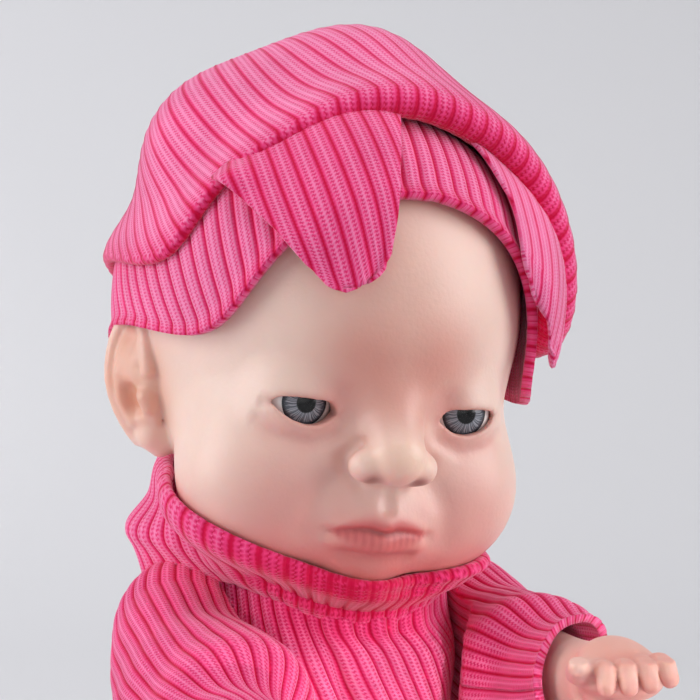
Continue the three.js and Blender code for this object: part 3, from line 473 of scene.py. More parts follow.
FOLDS = [  # a line on the left half, how deep it is pressed in, and its width
    ([(0, -33.5, -20.8), (1.9, -33.5, -20.3), (4.2, -32.5, -20.9), (6.8, -31, -22.0)], -0.7, 1.2),
    ([(0, -32.6, -24.4), (2.6, -32.3, -24.4), (5.0, -31.4, -24.4), (6.6, -30.4, -24.5)], -0.8, 1.5),
    ([(6.8, -30.8, -22.6), (8.4, -29.2, -23.1)], 0.5, 0.9),  # corner of the mouth
    ([(8.4, -29, -8.2), (12.4, -29, -9.9), (17, -27.4, -9.2), (19.6, -25, -7.4)], 0.5, 1.1),
    ([(17.6, -26.4, -4.4), (19.4, -25.2, -4.7)], 0.45, 0.7),  # corner of the eye
    (ALAR_CREASE, 1.5, 0.95),
    ([(8.6, -30, -15.5), (10.8, -28.6, -19), (11.4, -28, -23)], 0.5, 2.2),  # cheek to mouth
    ([(1.8, -33, -16.8), (2.0, -33.2, -19.2)], -0.12, 0.9),  # ridge beside the philtrum
]


def eye_opening(x, y, z):
    """Inside the gap between the lids: its upper edge is nearly straight, its lower edge round."""
    across = np.abs(x) - EYE[0]
    upper = np.interp(across, *zip(*UPPER_LID))
    lower = np.interp(across, *zip(*LOWER_LID))
    height = z - EYE[2]
    past_ends = np.abs(across - EYE_SLIT[0]) - EYE_SLIT[1]
    gap = np.maximum(np.maximum(height - upper, lower - height), past_ends)
    return np.maximum(gap * 0.9, y - EYE[1])


for side in (-1, 1):
    for line, depth, width in FOLDS:
        head.dent(np.array(line) * (side, 1, 1), depth, width)
    nostril = np.array(NOSTRIL) * (side, 1, 1)
    head.cut(ellipsoid(nostril, (1.3, 1.3, 1.2)), 0.5, nostril, 4)
head.dent([(0, -33, -16.2), (0, -33, -17.2), (0, -33.4, -18.4)], 0.5, 1.2)
head.dent([(-5.2, -30.2, -26.7), (0, -31, -27.2), (5.2, -30.2, -26.7)], 0.6, 1.4)
for reach, depth in ((7, 0.45), (5, 0.5)):
    half_line = [(x, -33 + 0.05 * x * x, z) for x, z in LIP_LINE[:reach]]
    head.dent([(-x, y, z) for x, y, z in half_line[:0:-1]] + half_line, depth, 0.42)
eyes_at = [(-18.5, -30, -10), (18.5, -20, 1)]
head.cut(both(ellipsoid(EYE, [EYE_RADIUS + 0.1] * 3)), 0.25, eyes_at, 4)
head.cut(eye_opening, 0.3, eyes_at, 2)
print("face done")

# %% [markdown]
# ## Ears
#
# An ear is a thin plate with a rolled rim, a ridge inside it, a hollow and a lobe. It could be
# modelled flat and bent afterwards. Here each ear has its own axes: across it to the back, up along
# it and out of its face, turned a little to the front, so its lines are written as if it were flat.

# %% Ears
EAR_MIDDLE = np.array([30.4, 3.6, -7.6])
EAR_FACES = math.radians(20)
EAR_WINDOW = 16
BEND_ACROSS, BEND_ALONG = 0.02, 0.026
bare_skull = head.far.copy()


def unit(vector):
    return vector / np.linalg.norm(vector)


def ear_axes(side):
    up = unit(np.array([side * 0.20, 0.10, 0.97]))
    out = np.array([side * math.cos(EAR_FACES), -math.sin(EAR_FACES), 0])
    out = unit(out - up * (out @ up))
    back = np.array([0, 1.0, 0])
    return unit(back - up * (back @ up) - out * (back @ out)), up, out


def ear_outline(turn):
    """The rim of an ear at an angle from its front, over the top, to the back."""
    across, up = -math.cos(turn), math.sin(turn)
    return 4.7 * across * (1 - 0.3 * max(-up, 0)), 11.0 * up


def ear_bend(a, b):
    """How far the top, the lobe and the edges bend in towards the head."""
    return BEND_ACROSS * a * a + BEND_ALONG * b * b


def on_ear(side, a, b, c):
    back, up, out = ear_axes(side)
    return EAR_MIDDLE * (side, 1, 1) + a * back + b * up + (c - ear_bend(a, b)) * out


EAR_RIM = [(*ear_outline(math.radians(t)), 0.9) for t in range(10, 240, 12)]
EAR_STROKES = [  # what is done, places on the ear, radii, and the width of the join
    (head.add, EAR_RIM, [1.15] * len(EAR_RIM), 0.7),
    (head.add, [(-2.6, 4, 0.5), (-3.4, 7, 0.2), (-3.8, -0.4, -0.4)], [1.2, 1.0, 1], 1),
    (head.add, [(1.1, -6.2, 0.8), (2.1, -2.6, 0.9), (1.8, 1.6, 1.0), (0.4, 5.4, 0.5)],
     [0.9, 1, 1, 0.7], 1),
    (head.cut, [(-0.7, -4.0, 1.9), (-0.6, -1.6, 1.9)], [1.9, 1.8], 1.0),
    (head.add, [(-3.4, -2.2, 0.9), (-3.5, -3.8, 0.8)], [1.3, 1.1], 0.9),
    (head.add, [(-0.8, -9.2, 0.2), (-1.5, -10.8, 0.2)], [2.0, 1.6], 1.6),
    (head.add, [(-1.0, -8.6, -0.6), (-3.6, -9.6, -3.6)], [1.8, 2.4], 1.8),
]
for side in (-1, 1):
    middle = EAR_MIDDLE * (side, 1, 1)

    def ear_plate(x, y, z):
        a, b, c = in_frame(x, y, z, middle, ear_axes(side))
        return ellipsoid((0, 0, 0), (4.7, 10.8, 1.6))(a, b, c + ear_bend(a, b))

    head.add(ear_plate, 1.6, middle, EAR_WINDOW)
    for stroke, places, radii, width in EAR_STROKES:
        line = [on_ear(side, *place) for place in places]
        stroke(rod(line, radii), width, middle, EAR_WINDOW)
print("ears done")

# %% [markdown]
# ## Vinyl and its paint
#
# The vinyl is pale and a little translucent. The blush on cheeks, chin, ears and knuckles is thin
# paint. Painted shade is laid in with it: in the middle of the forehead and on the brow, on the chin
# and jaw next to the collar, in the creases round the nose, eyes and lips, in the hollows of the
# ears, in the nostrils and in the navel; the tip of the nose has a painted highlight. It could be an
# image, but then it would need a layout; here it is held as colours at the points, and the shader
# adds fine mottling, pores and a soft, uneven gloss. Light goes a short way into it and comes back
# warmer.

# %% Vinyl material
def linear(red, green, blue):
    """A colour as a screen shows it, turned into amounts of light."""
    shares = np.array([red, green, blue]) / 255
    return np.where(shares <= 0.04045, shares / 12.92, ((shares + 0.055) / 1.055) ** 2.4)


SKIN = linear(240, 211, 197)
# Blush; the same colour is also used as painted shade in creases and hollows and along the jaw.
BLUSH_AND_SHADE = linear(219, 122, 116)
LIPS = linear(208, 88, 92)
WARM = linear(222, 150, 118)


def paint_material(name, roughness, mottle, pores, scatter, more=None):
    """A painted surface: colours from the points, mottled, with pores and an uneven gloss."""
    material, tree, shader = new_material(name)
    paint_and_shade = node(tree, "ShaderNodeVertexColor", layer_name="paint_and_shade").outputs["Color"]
    place = node(tree, "ShaderNodeTexCoord").outputs["Object"]
    blotch = noise(tree, Vector=place, Scale=160, Detail=3)
    grain = noise(tree, Vector=place, Scale=1400)

    def about(value, change):
        ends = {"Value": blotch, "To Min": value - change, "To Max": value + change}
        return node(tree, "ShaderNodeMapRange", ends).outputs["Result"]

    bump = node(tree, "ShaderNodeBump", {"Height": grain, "Strength": pores, "Distance": 0.0004})
    feed(tree, shader, {
        "Base Color": tinted(tree, paint_and_shade, about(1, mottle)),
        "Roughness": about(roughness, 0.06),
        "Normal": bump.outputs["Normal"],
        "Subsurface Weight": scatter,
        "Subsurface Radius": (1.0, 0.32, 0.18),
        "Subsurface Scale": 0.0022,
        **(more or {}),
    })
    return material


vinyl = paint_material("vinyl", 0.4, 0.05, 0.12, 0.35)


def glow(points, line, width):
    """A soft mask round a line of points, the same on both sides."""
    x, y, z = np.abs(points[:, 0]), points[:, 1], points[:, 2]
    line = np.array(line, float).reshape(-1, 3)
    if len(line) == 1:
        line = np.concatenate([line, line + 0.01])
    return bell(rod(line, [0] * len(line))(x, y, z), width)


def brushed(colour, mask, tint, strength):
    return colour + (tint - colour) * (mask * strength)[:, None]


def bare(points):
    return np.tile(SKIN, (len(points), 1))


print("vinyl ready")

# %% Painted head
BRUSHED = [  # a line, the width of the brush, its colour and its strength
    # Painted shade in the middle of the forehead.
    ([(0, -34, 20), (0, -32, 6)], 13, linear(214, 146, 128), 0.5),  # forehead
    ([(15, -27, -18)], 9, BLUSH_AND_SHADE, 0.52),  # cheeks
    # Chin blush, deepened with painted shade and the pink light bounced from the collar.
    ([(0, -28, -30)], 7, linear(200, 88, 86), 0.7),  # chin
    # Blush along the jaw and jowls, deepened as painted shade next to the collar.
    ([(22, -12, -26), (18, -16, -30), (8, -20, -34)], 8.5, BLUSH_AND_SHADE, 0.95),  # jaw
    ([(5, -29, -27), (12, -26, -28), (19, -20, -28)], 7, BLUSH_AND_SHADE, 0.5),  # jowls
    # Painted shade on the brow between the eyes.
    ([(0, -30, -2), (6, -30, 4)], 7, linear(208, 122, 108), 0.6),  # brow
    # Painted shade in the hollow beside the nose, at the inner corner of the eye.
    ([(9, -28, -3)], 3.2, BLUSH_AND_SHADE, 0.45),  # beside the nose
    # Painted shade along the crease under the eye.
    ([(9, -28, -8), (13, -28, -9.4), (18, -26, -8)], 2.2, BLUSH_AND_SHADE, 0.35),  # under the eye
    # Painted shade in the crease round the wing of the nose.
    (ALAR_CREASE[:3], 1.3, linear(190, 92, 80), 0.7),
    # A painted highlight on the tip of the nose.
    ([(0, -38, -10.5), (2.4, -37, -11.5)], 3.6, linear(250, 214, 188), 0.6),  # tip of the nose
]
# Warm blush over the whole ear, and painted shade in its hollow, under the top of the rim and in the
# groove inside the rim.
EAR_BLUSH_AND_SHADE = [((0, 0, 0), 9, 0.6), ((-0.6, -2.6, 0.4), 2.6, 0.85), ((0, 6, 0.5), 2.6, 0.6),
              ((3.2, 0, 0.4), 1.5, 0.6)]
points, quads = head.skin()
colour = bare(points)
for line, width, tint, strength in BRUSHED:
    colour = brushed(colour, glow(points, line, width), tint, strength)
aside = np.abs(points[:, 0])
over_line = points[:, 2] - np.interp(aside, *zip(*LIP_LINE))
in_front = (points[:, 1] < -27) * np.clip((8.8 - aside) / 2, 0, 1)
lip_reach = np.where(over_line > 0, 2.5, 3.0) * np.clip(1.05 - (aside / 8) ** 2, 0.05, 1)
colour = brushed(colour, in_front * np.exp(-(np.abs(over_line) / lip_reach) ** 3), LIPS, 0.85)
# Painted shade in fine upright creases on the lower lip.
lip_crease_shade = 0.5 + 0.5 * np.sin(5.2 * points[:, 0] + 0.6 * points[:, 2])
lip_crease_shade = lip_crease_shade * in_front * (over_line < 0) * np.exp(-(over_line / lip_reach) ** 4)
colour = brushed(colour, lip_crease_shade, linear(168, 60, 66), 0.5)
# Painted shade along the line where the lips meet.
fades = np.clip(1 - (aside / 7.5) ** 2, 0, 1)
colour = brushed(colour, in_front * fades * bell(over_line, 0.42), linear(126, 40, 44), 0.75)
# Painted shade in the crease under the lower lip.
under_lip_shade = glow(points, [(0, -31, -27.2), (5, -30.2, -26.7)], 1.7)
colour = brushed(colour, under_lip_shade, linear(186, 84, 84), 0.35)
colour = brushed(colour, in_front * bell(over_line, 5), BLUSH_AND_SHADE, 0.3)
# Painted shade in the nostrils.
colour = brushed(colour, glow(points, [(3.7, -34.2, -14.6)], 1.5), linear(120, 50, 40), 0.85)
for spot, width, strength in EAR_BLUSH_AND_SHADE:
    colour = brushed(colour, glow(points, [on_ear(1, *spot)], width), WARM, strength)
# Painted shade along the edges of the lids, where they meet the eyes.
lid_edge_shade = bell(np.abs(eye_opening(*points.T)), 0.75)
lid_edge_shade = np.where((points[:, 1] < -23) & (points[:, 2] > -9), lid_edge_shade, 0)
colour = brushed(colour, lid_edge_shade, linear(198, 118, 110), 0.4)

head_points = points @ HEAD_TURN.T + HEAD_MIDDLE
head_skin = placed("head_skin", head_points, quads, vinyl, colour=colour)
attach(head_skin, "head")
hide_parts("head_shell")
print("head", len(quads), "quads")

# %% [markdown]
# ## Eyes
#
# Each eye is a glossy ball behind the lids: a white with a faint warm edge, a grey iris with fine
# spokes and a dark ring, a black pupil, and a clear dome over it. All three are parts of one ball,
# given by angles off its axis, so they fit without a gap. The spokes are painted at the points.

# %% Eyes
IRIS_REACH = math.asin(3.6 / EYE_RADIUS)
GAZE = turn_about("X", -4)
SPOKES = 84
eye_gloss = paint_material("eye_gloss", 0.16, 0.02, 0.02, 0.0, {
    "Coat Weight": 0.4, "Coat Roughness": 0.05, "Specular IOR Level": 0.2})
dome = paint_material("clear_dome", 0.1, 0.02, 0.02, 0.0, {"Alpha": 0.06})


def ball_cap(first, last, rings, spokes, radius):
    """Part of a ball about -Y, from one angle off its axis to another, with its points' angles."""
    tilt = np.repeat(np.linspace(first, last, rings), spokes)
    spin = np.tile(np.linspace(0, 2 * math.pi, spokes, endpoint=False), rings)
    out = np.sin(tilt)
    points = np.stack([out * np.cos(spin), -np.cos(tilt), out * np.sin(spin)], 1) * radius
    return points, grid_quads(rings, spokes)[1][:, ::-1], tilt, spin


def iris_colour(tilt, spin):
    dice = np.random.default_rng(4)
    share = tilt / IRIS_REACH
    grey = np.tile(linear(92, 97, 107), (len(tilt), 1))
    for at in np.linspace(0, 2 * math.pi, SPOKES, endpoint=False):
        at += dice.uniform(-0.05, 0.05)
        near = np.abs(np.angle(np.exp(1j * (spin - at - 0.03 * np.sin(9 * share + at)))))
        reach = dice.uniform(0.72, 0.92)
        spoke = bell(near, 0.022) * np.clip((reach - share) / 0.08, 0, 1)
        grey = brushed(grey, spoke, linear(200, 203, 211), dice.uniform(0.3, 0.85))
    grey = brushed(grey, np.clip((share - 0.8) / 0.14, 0, 1), linear(38, 41, 48), 0.9)
    return brushed(grey, np.clip((0.43 - share) / 0.04, 0, 1), linear(5, 5, 6), 1.0)


def white_colour(tilt, spin):
    white = np.tile(linear(246, 242, 240), (len(tilt), 1))
    return brushed(white, np.clip((tilt - IRIS_REACH) / 0.5, 0, 1), linear(226, 178, 170), 0.25)


def dome_colour(tilt, spin):
    return np.tile(linear(14, 14, 16), (len(tilt), 1))


EYE_PIECES = [  # piece, angles, rings, spokes, radius, node, slot, material, colour
    ("eyeball", IRIS_REACH, math.pi - 0.02, 60, 96, EYE_RADIUS,
     "eye", "eye_white", eye_gloss, white_colour),
    ("iris_disc", 0.01, IRIS_REACH + 0.01, 44, 360, EYE_RADIUS - 0.02,
     "iris", "iris_grey", eye_gloss, iris_colour),
    ("cornea_dome", 0.01, IRIS_REACH + 0.05, 24, 96, EYE_RADIUS + 0.04,
     "cornea", "cornea_clear", dome, dome_colour),
]
for side, name in ((-1, "right"), (1, "left")):
    for kind, first, last, rings, spokes, radius, cad, slot, material, colour_of in EYE_PIECES:
        points, faces, tilt, spin = ball_cap(first, last, rings, spokes, radius)
        points = (points @ GAZE.T + EYE * (side, 1, 1)) @ HEAD_TURN.T + HEAD_MIDDLE
        made = placed(f"{kind}_{name}", points, faces, material, colour=colour_of(tilt, spin))
        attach(made, "head")
        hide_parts(f"{cad}_{name}")
print("eyes ready")

# %% [markdown]
# ## Rib knit
#
# Rib knit is a sheet whose columns stand up in round ridges with narrow valleys between them, one
# ridge every 3 mm here. Cloth could be simulated, but a baby's knit clings, so its shape follows from
# what is under it. A sheet is given as a grid of points, with the millimetres across the ribs and
# along them. The ridges are real: each point is lifted along its normal by the ridge's section.
# Single stitches, about 0.6 mm long, are left to the shader, which draws them as small vees; it
# paints shade into the valleys and the stitch holes and a highlight on the crests. A painted shade
# held at the points makes hems, rolls and the place under the chin deeper in colour; below nought it
# paints light.

# %% Knit material
RIB = 3.0
STITCH = 0.62
RELIEF = 0.24
COLUMNS = 8  # points across one rib


def knit_material(name, crest, valley, lit):
    material, tree, shader = new_material(name)

    def m(operation, *values):
        return maths(tree, operation, *values)

    def split(vector):
        return node(tree, "ShaderNodeSeparateXYZ", {0: vector}).outputs

    layout = node(tree, "ShaderNodeUVMap", uv_map="cloth").outputs["UV"]
    place = node(tree, "ShaderNodeTexCoord").outputs["Object"]
    paint_and_shade = node(tree, "ShaderNodeVertexColor", layer_name="paint_and_shade").outputs["Color"]
    across, along = split(layout)[:2]
    phase = m("FRACT", m("DIVIDE", across, RIB))
    aside = m("ABSOLUTE", m("SUBTRACT", phase, 0.5))
    crown = m("SUBTRACT", 1.0, m("POWER", m("MULTIPLY", aside, 2.0), 4.0))
    column = m("FRACT", m("MULTIPLY", phase, 3.0))
    leg = m("ABSOLUTE", m("SUBTRACT", column, 0.5))
    shifted = m("ADD", m("DIVIDE", along, STITCH), m("MULTIPLY", column, 0.35))
    beat = m("MULTIPLY", m("PINGPONG", shifted, 0.5), 2.0)
    hole = m("MULTIPLY", beat, m("MULTIPLY", leg, 2.0))
    fuzz = noise(tree, Vector=layout, Scale=2.6, Detail=5, Roughness=0.7)
    wear = noise(tree, Vector=place, Scale=90)
    lift = m("MULTIPLY", crown, m("SUBTRACT", 0.95, m("MULTIPLY", hole, 0.75)))
    lift = m("ADD", lift, m("MULTIPLY", m("SUBTRACT", fuzz, 0.5), 0.5))
    # The ramp paints shade and light: low lift, in the valleys and stitch holes, takes the darker
    # valley colour as painted shade; high lift, on the crests, takes the pale lit colour as painted
    # highlight. The painted shade at the points lowers the lift, and below nought it raises it as
    # painted light.
    shaded_lift = m("SUBTRACT", lift, m("MULTIPLY", split(paint_and_shade)["X"], 0.8))
    ramp = node(tree, "ShaderNodeValToRGB", {"Fac": shaded_lift})
    first, last = ramp.color_ramp.elements
    first.position, first.color = 0.05, (*valley, 1)
    last.position, last.color = 0.95, (*lit, 1)
    ramp.color_ramp.elements.new(0.55).color = (*crest, 1)
    shade = m("ADD", m("MULTIPLY", wear, 0.3), 0.85)
    bump = node(tree, "ShaderNodeBump", {"Height": lift, "Strength": 0.7, "Distance": 0.0003})
    feed(tree, shader, {
        "Base Color": tinted(tree, ramp.outputs["Color"], shade),
        "Normal": bump.outputs["Normal"],
        "Roughness": m("SUBTRACT", 0.95, m("MULTIPLY", crown, 0.15)),
        "Specular IOR Level": 0.15,
        "Sheen Weight": 0.5,
        "Sheen Roughness": 0.4,
        "Sheen Tint": (1.0, 0.72, 0.84, 1),
    })
    return material


knit = knit_material("rib_knit", (0.90, 0.055, 0.235), (0.66, 0.003, 0.06), (0.97, 0.27, 0.50))
print("knit ready")

# %% Knit sheets
def eased(share):
    share = np.clip(share, 0, 1)
    return share * share * (3 - 2 * share)


def evened(table, steps, axis=1):
    """Averages a table with its neighbours, round and round."""
    for _ in range(steps):
        table = (np.roll(table, 1, axis) + 2 * table + np.roll(table, -1, axis)) / 4
    return table


def ridge(across):
    """The section of the ribs, between -1 in the valley and 1 on the crest."""
    phase = np.abs(across / RIB - np.floor(across / RIB) - 0.5) * 2
    return 1 - 2 * phase ** 4


def rib_measure(ribs, shape):
    """Millimetres across the ribs, the same in every row of a closed sheet."""
    return np.broadcast_to(np.arange(ribs * COLUMNS) / COLUMNS * RIB, shape)


def normals_of(grid, closed):
    if closed:
        across = np.roll(grid, -1, 1) - np.roll(grid, 1, 1)
    else:
        across = np.gradient(grid, axis=1)
    out = np.cross(across, np.gradient(grid, axis=0))
    return out / (np.linalg.norm(out, axis=2, keepdims=True) + 1e-12)


def lengths_along(grid, axis):
    steps = np.linalg.norm(np.diff(grid, axis=axis), axis=2)
    start = np.zeros_like(np.take(steps, [0], axis))
    return np.concatenate([start, np.cumsum(steps, axis)], axis)


def flat_size(grid, along, closed):
    """The sheet's mean width, mean length and area when it is laid flat, in metres."""
    if closed:
        grid = np.concatenate([grid, grid[:, :1]], 1)
    width = lengths_along(grid, 1)[:, -1].mean() * MM
    length = along[-1].mean() * MM
    diagonals = grid[1:, 1:] - grid[:-1, :-1], grid[1:, :-1] - grid[:-1, 1:]
    cells = np.linalg.norm(np.cross(*diagonals), axis=2) / 2 * MM * MM
    return width, length, min(float(cells.sum()), width * length)


def knit_sheet(name, body, grid, across, nodes, closed=True,
               thick=1.1, flip=False, fade=1.0, swell=0.0, painted_shade=0.0):
    """A sheet of rib knit on a grid whose rows go round and whose columns follow the ribs.

    The body is a name, to which the sheet is attached; two names and two points are not used, and the
    sheet stays where it is."""
    rows, columns = grid.shape[:2]
    out = normals_of(grid, closed) * (-1 if flip else 1)
    along = lengths_along(grid, 0)
    to_hem = np.minimum(along, along[-1:] - along)
    relief = RELIEF * ridge(across) * fade * (0.3 + 0.7 * eased(to_hem / 2.4))
    outer = grid + out * (thick / 2 + relief + swell)[..., None]
    inner = grid - out * (thick / 2 - 0.5 * np.minimum(relief, 0))[..., None]
    points = np.concatenate([outer.reshape(-1, 3), inner.reshape(-1, 3)])
    uv = np.tile(np.stack([across, along], -1).reshape(-1, 2), (2, 1))
    number, front = grid_quads(rows, columns, closed)
    under = rows * columns
    rims = [number[0], number[-1][::-1]]
    if not closed:
        rims = [np.concatenate([number[0], number[1:, -1], number[-1, -2::-1],
                                number[-2:0:-1, 0], number[:1, 0]])]
    walls = [np.stack([rim[1:], rim[:-1], rim[:-1] + under, rim[1:] + under], -1) for rim in rims]
    faces = np.concatenate([front, front[:, ::-1] + under, *walls])
    if flip:
        faces = faces[:, ::-1]
    # The painted shade is held as a colour at the points; below nought it paints light.
    shade = np.tile(np.broadcast_to(painted_shade, across.shape).reshape(-1, 1), (2, 3))
    made = placed(name, points, faces, knit, uv=uv, colour=shade)
    if isinstance(body, str):
        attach(made, body)
    else:
        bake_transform(made)
    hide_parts(*nodes)
    width, length, area = flat_size(grid, along, closed)
    flat = [round(side / MM, 1) for side in (width, length)]
    print(name, len(faces), "faces, flat", flat[0], "x", flat[1], "mm")


print("sheets ready")

# %% [markdown]
# ## Hat
#
# The hat is a band round the head, a loose crown that bulges over the seam above it, and three
# petals sewn into that seam. Everything is measured from the hat's own middle: a turn about its axis
# and an angle down from the top. Rays from that middle find how far away the head is, so the band
# lies on it. Ribs run from the top down, lean over on the crown as in the photograph, and fade where
# they crowd together at the very top. Where the crown rolls under, and along its seam, painted shade
# makes its colour deeper; the rest of the crown has a little painted light.

# %% Measures of the hat
HAT_IN_HEAD = turn_about("Y", 5) @ turn_about("X", -43)
HAT_TURN = HEAD_TURN @ HAT_IN_HEAD
HAT_MIDDLE_IN_HEAD = np.array([1.6, 4.0, 10.0])
HAT_MIDDLE = HEAD_TURN @ HAT_MIDDLE_IN_HEAD + HEAD_MIDDLE
HAT_RADIUS = 37.5
HAT_RIBS = 73
BAND = 14.5
TABLE_COLUMNS, TABLE_ROWS = 180, 51
TABLE_FIRST, TABLE_LAST = 40, 140  # degrees down from the top of the hat
TABLE_STEP = (TABLE_LAST - TABLE_FIRST) / (TABLE_ROWS - 1)


def wrapped(turn):
    return np.arctan2(np.sin(turn), np.cos(turn))


def hat_direction(turn, polar):
    out = np.sin(polar)
    return np.stack([out * np.sin(turn), -out * np.cos(turn), np.cos(polar)], -1)


def head_reach(turn, polar):
    """How far the head, without its ears, reaches from the middle of the hat."""
    way = hat_direction(turn, polar) @ HAT_IN_HEAD.T
    far = np.full(way.shape[:-1], 62.0)
    whole, head.far = head.far, bare_skull
    for _ in range(30):
        far = far - 0.9 * head.at(HAT_MIDDLE_IN_HEAD + far[..., None] * way)
    head.far = whole
    return far


def hem_polar(turn):
    """The hem of the band, which dips in front of each ear."""
    turn = wrapped(turn)
    low = np.where(turn < 0, -69, 75)
    dip = np.where(turn < 0, 28, 29)
    temple = dip * bell(np.degrees(turn) - low, 35)
    return np.radians(88.5 + 13 * (1 + np.cos(turn)) / 2 + temple)


def seam_polar(turn):
    """The seam above the band, which is taller in front and most of all over the left temple."""
    degrees = np.degrees(wrapped(turn))
    taller = 5 * bell(degrees + 10, 38) + 6.5 * bell(degrees - 50, 32)
    taller = taller + 5 * bell(degrees + 54, 15)
    return hem_polar(turn) - (BAND + taller) / HAT_RADIUS


table_polars = np.radians(np.linspace(TABLE_FIRST, TABLE_LAST, TABLE_ROWS))
reach_table = head_reach(*np.meshgrid(all_round(TABLE_COLUMNS), table_polars))
near_by = np.max([np.roll(reach_table, k, 1) for k in range(-3, 4)], axis=0)
reach_table = evened(np.maximum(evened(near_by, 12), reach_table), 6)


def band_inside(turn, polar):
    """The radius of the band's inside, read between the places of the table."""
    x = (wrapped(turn) + math.pi) / (2 * math.pi) * TABLE_COLUMNS
    y = np.clip((np.degrees(polar) - TABLE_FIRST) / TABLE_STEP, 0, TABLE_ROWS - 1.001)
    i, j = np.floor(x).astype(int) % TABLE_COLUMNS, y.astype(int)
    s, t = x - np.floor(x), y - j
    k = (i + 1) % TABLE_COLUMNS
    upper = reach_table[j, i] * (1 - s) + reach_table[j, k] * s
    lower = reach_table[j + 1, i] * (1 - s) + reach_table[j + 1, k] * s
    return upper * (1 - t) + lower * t + 0.8


def on_hat(turn, polar, radius):
    return (hat_direction(turn, polar) * radius[..., None]) @ HAT_TURN.T + HAT_MIDDLE


hat_turns = all_round(HAT_RIBS * COLUMNS)
print("band radius", round(float(band_inside(np.zeros(1), np.array([1.6]))[0]), 1), "mm in front")

# %% Band
share, turn = np.meshgrid(np.linspace(0, 1, 30), hat_turns, indexing="ij")
polar = hem_polar(turn) + (seam_polar(turn) - 0.03 - hem_polar(turn)) * share
hem = bell(share, 0.09)
loose = 1.2 * bell(turn - 1.5, 0.35) * eased((0.8 - share) / 0.6)
radius = band_inside(turn, polar) + 0.7 + 0.5 * hem + loose
# Painted shade at the rolled hem, and painted light on the band at the doll's right side.
knit_sheet("hat_band_knit", "hat", on_hat(turn, polar, radius), rib_measure(HAT_RIBS, turn.shape),
           ["hat_band"], swell=0.45 * hem,
           painted_shade=0.3 * hem - 0.16 * bell(turn + 1.3, 0.5))

# %% Crown
DOME_ROWS, ROLL_ROWS = 64, 14
CROWN_LEAN = 0.75
PEAK = unit(np.array([0.02, -0.05, 1]))

shares = np.concatenate([np.linspace(0.002, 1, DOME_ROWS), np.full(ROLL_ROWS, 2)])
bend = np.concatenate([np.zeros(DOME_ROWS), np.linspace(0, math.pi, ROLL_ROWS + 1)[1:]])
share, turn = np.meshgrid(shares, hat_turns, indexing="ij")
bend = np.broadcast_to(bend[:, None], share.shape)
rolled = share > 1
share = np.minimum(share, 1)
turn = turn - CROWN_LEAN * (1 - share)
seam = seam_polar(turn)
polar = share * seam
way = hat_direction(turn, polar) @ HAT_IN_HEAD.T
peak = 4 * bell(np.arccos(np.clip(way @ PEAK, -1, 1)), 0.32)
skull = np.where(polar > 0.7, band_inside(turn, np.maximum(polar, 0.7)) + 2.2, 0)
slack = 4.5 * bell(turn + 1.4, 0.75) * eased((share - 0.55) / 0.4)
slack = slack - 3 * bell(turn + 1.2, 0.7) * bell(share - 0.45, 0.2)
loose = np.logaddexp((HAT_RADIUS - slack) * 2, skull * 2) / 2
wave = 0.5 * np.sin(3 * turn + 4 * polar) + 0.35 * np.sin(5 * turn - 6 * polar + 1)
edge = loose + peak + 1.4 * bell(1 - share, 0.12) + wave * np.sin(math.pi * share) - 0.7
half = np.maximum((edge - band_inside(turn, seam) - 2.6) / 2, 0.6)
radius = np.where(rolled, edge - half + half * np.cos(bend), edge)
polar = polar + np.where(rolled, 1.25 * half / HAT_RADIUS * np.sin(bend), 0)
crowd = np.clip(np.sin(share * seam) * HAT_RADIUS * 2 * math.pi / HAT_RIBS / RIB, 0.12, 1)
# Painted shade under the roll and along the seam; elsewhere a small negative value paints light on
# the crown.
painted_shade = np.where(rolled, 0.1 + 0.7 * eased(bend / 2.2), 0.2 * bell(1 - share, 0.04) - 0.1)
knit_sheet("hat_crown_knit", "hat", on_hat(turn, polar, radius), rib_measure(HAT_RIBS, turn.shape),
           ["hat_crown"], fade=crowd, painted_shade=painted_shade)

# %% Petals
PETAL = [(0, 16.5), (0.25, 13.4), (0.5, 10.4), (0.75, 7.8), (0.9, 5.7), (0.96, 4.2), (0.99, 2.5),
         (1, 1.2)]  # half the width from the seam to the tip
# number, turn and lean in degrees, length, wider tip, lifted edge, raised corner, give, painted shade
# (below nought, painted light)
PETALS = [
    (1, -30.0, 10, 33.0, 0, 0, 2.6, 0.3, 0.1),
    (2, 39.0, 5, 26.5, 3, 2.5, 0, 0.3, -0.12),
    (3, 180.0, 12, 28.5, 0, 0, 0, None, 0),
]


def hung(grid, give):
    """Lets a petal fall straight down once its middle has passed where the head is widest."""
    middle = grid[:, grid.shape[1] // 2]
    wide = np.hypot(middle[:, 0] - HEAD_MIDDLE[0], middle[:, 1] - HEAD_MIDDLE[1])
    widest = int(np.argmax(wide))
    along = lengths_along(middle[:, None], 0)[:, 0]
    fall = middle[widest] + (middle - middle[widest]) * (give, give, 0)
    fall[:, 2] -= 0.98 * (along - along[widest])
    fall[:widest] = middle[:widest]
    return grid + (fall - middle)[:, None]


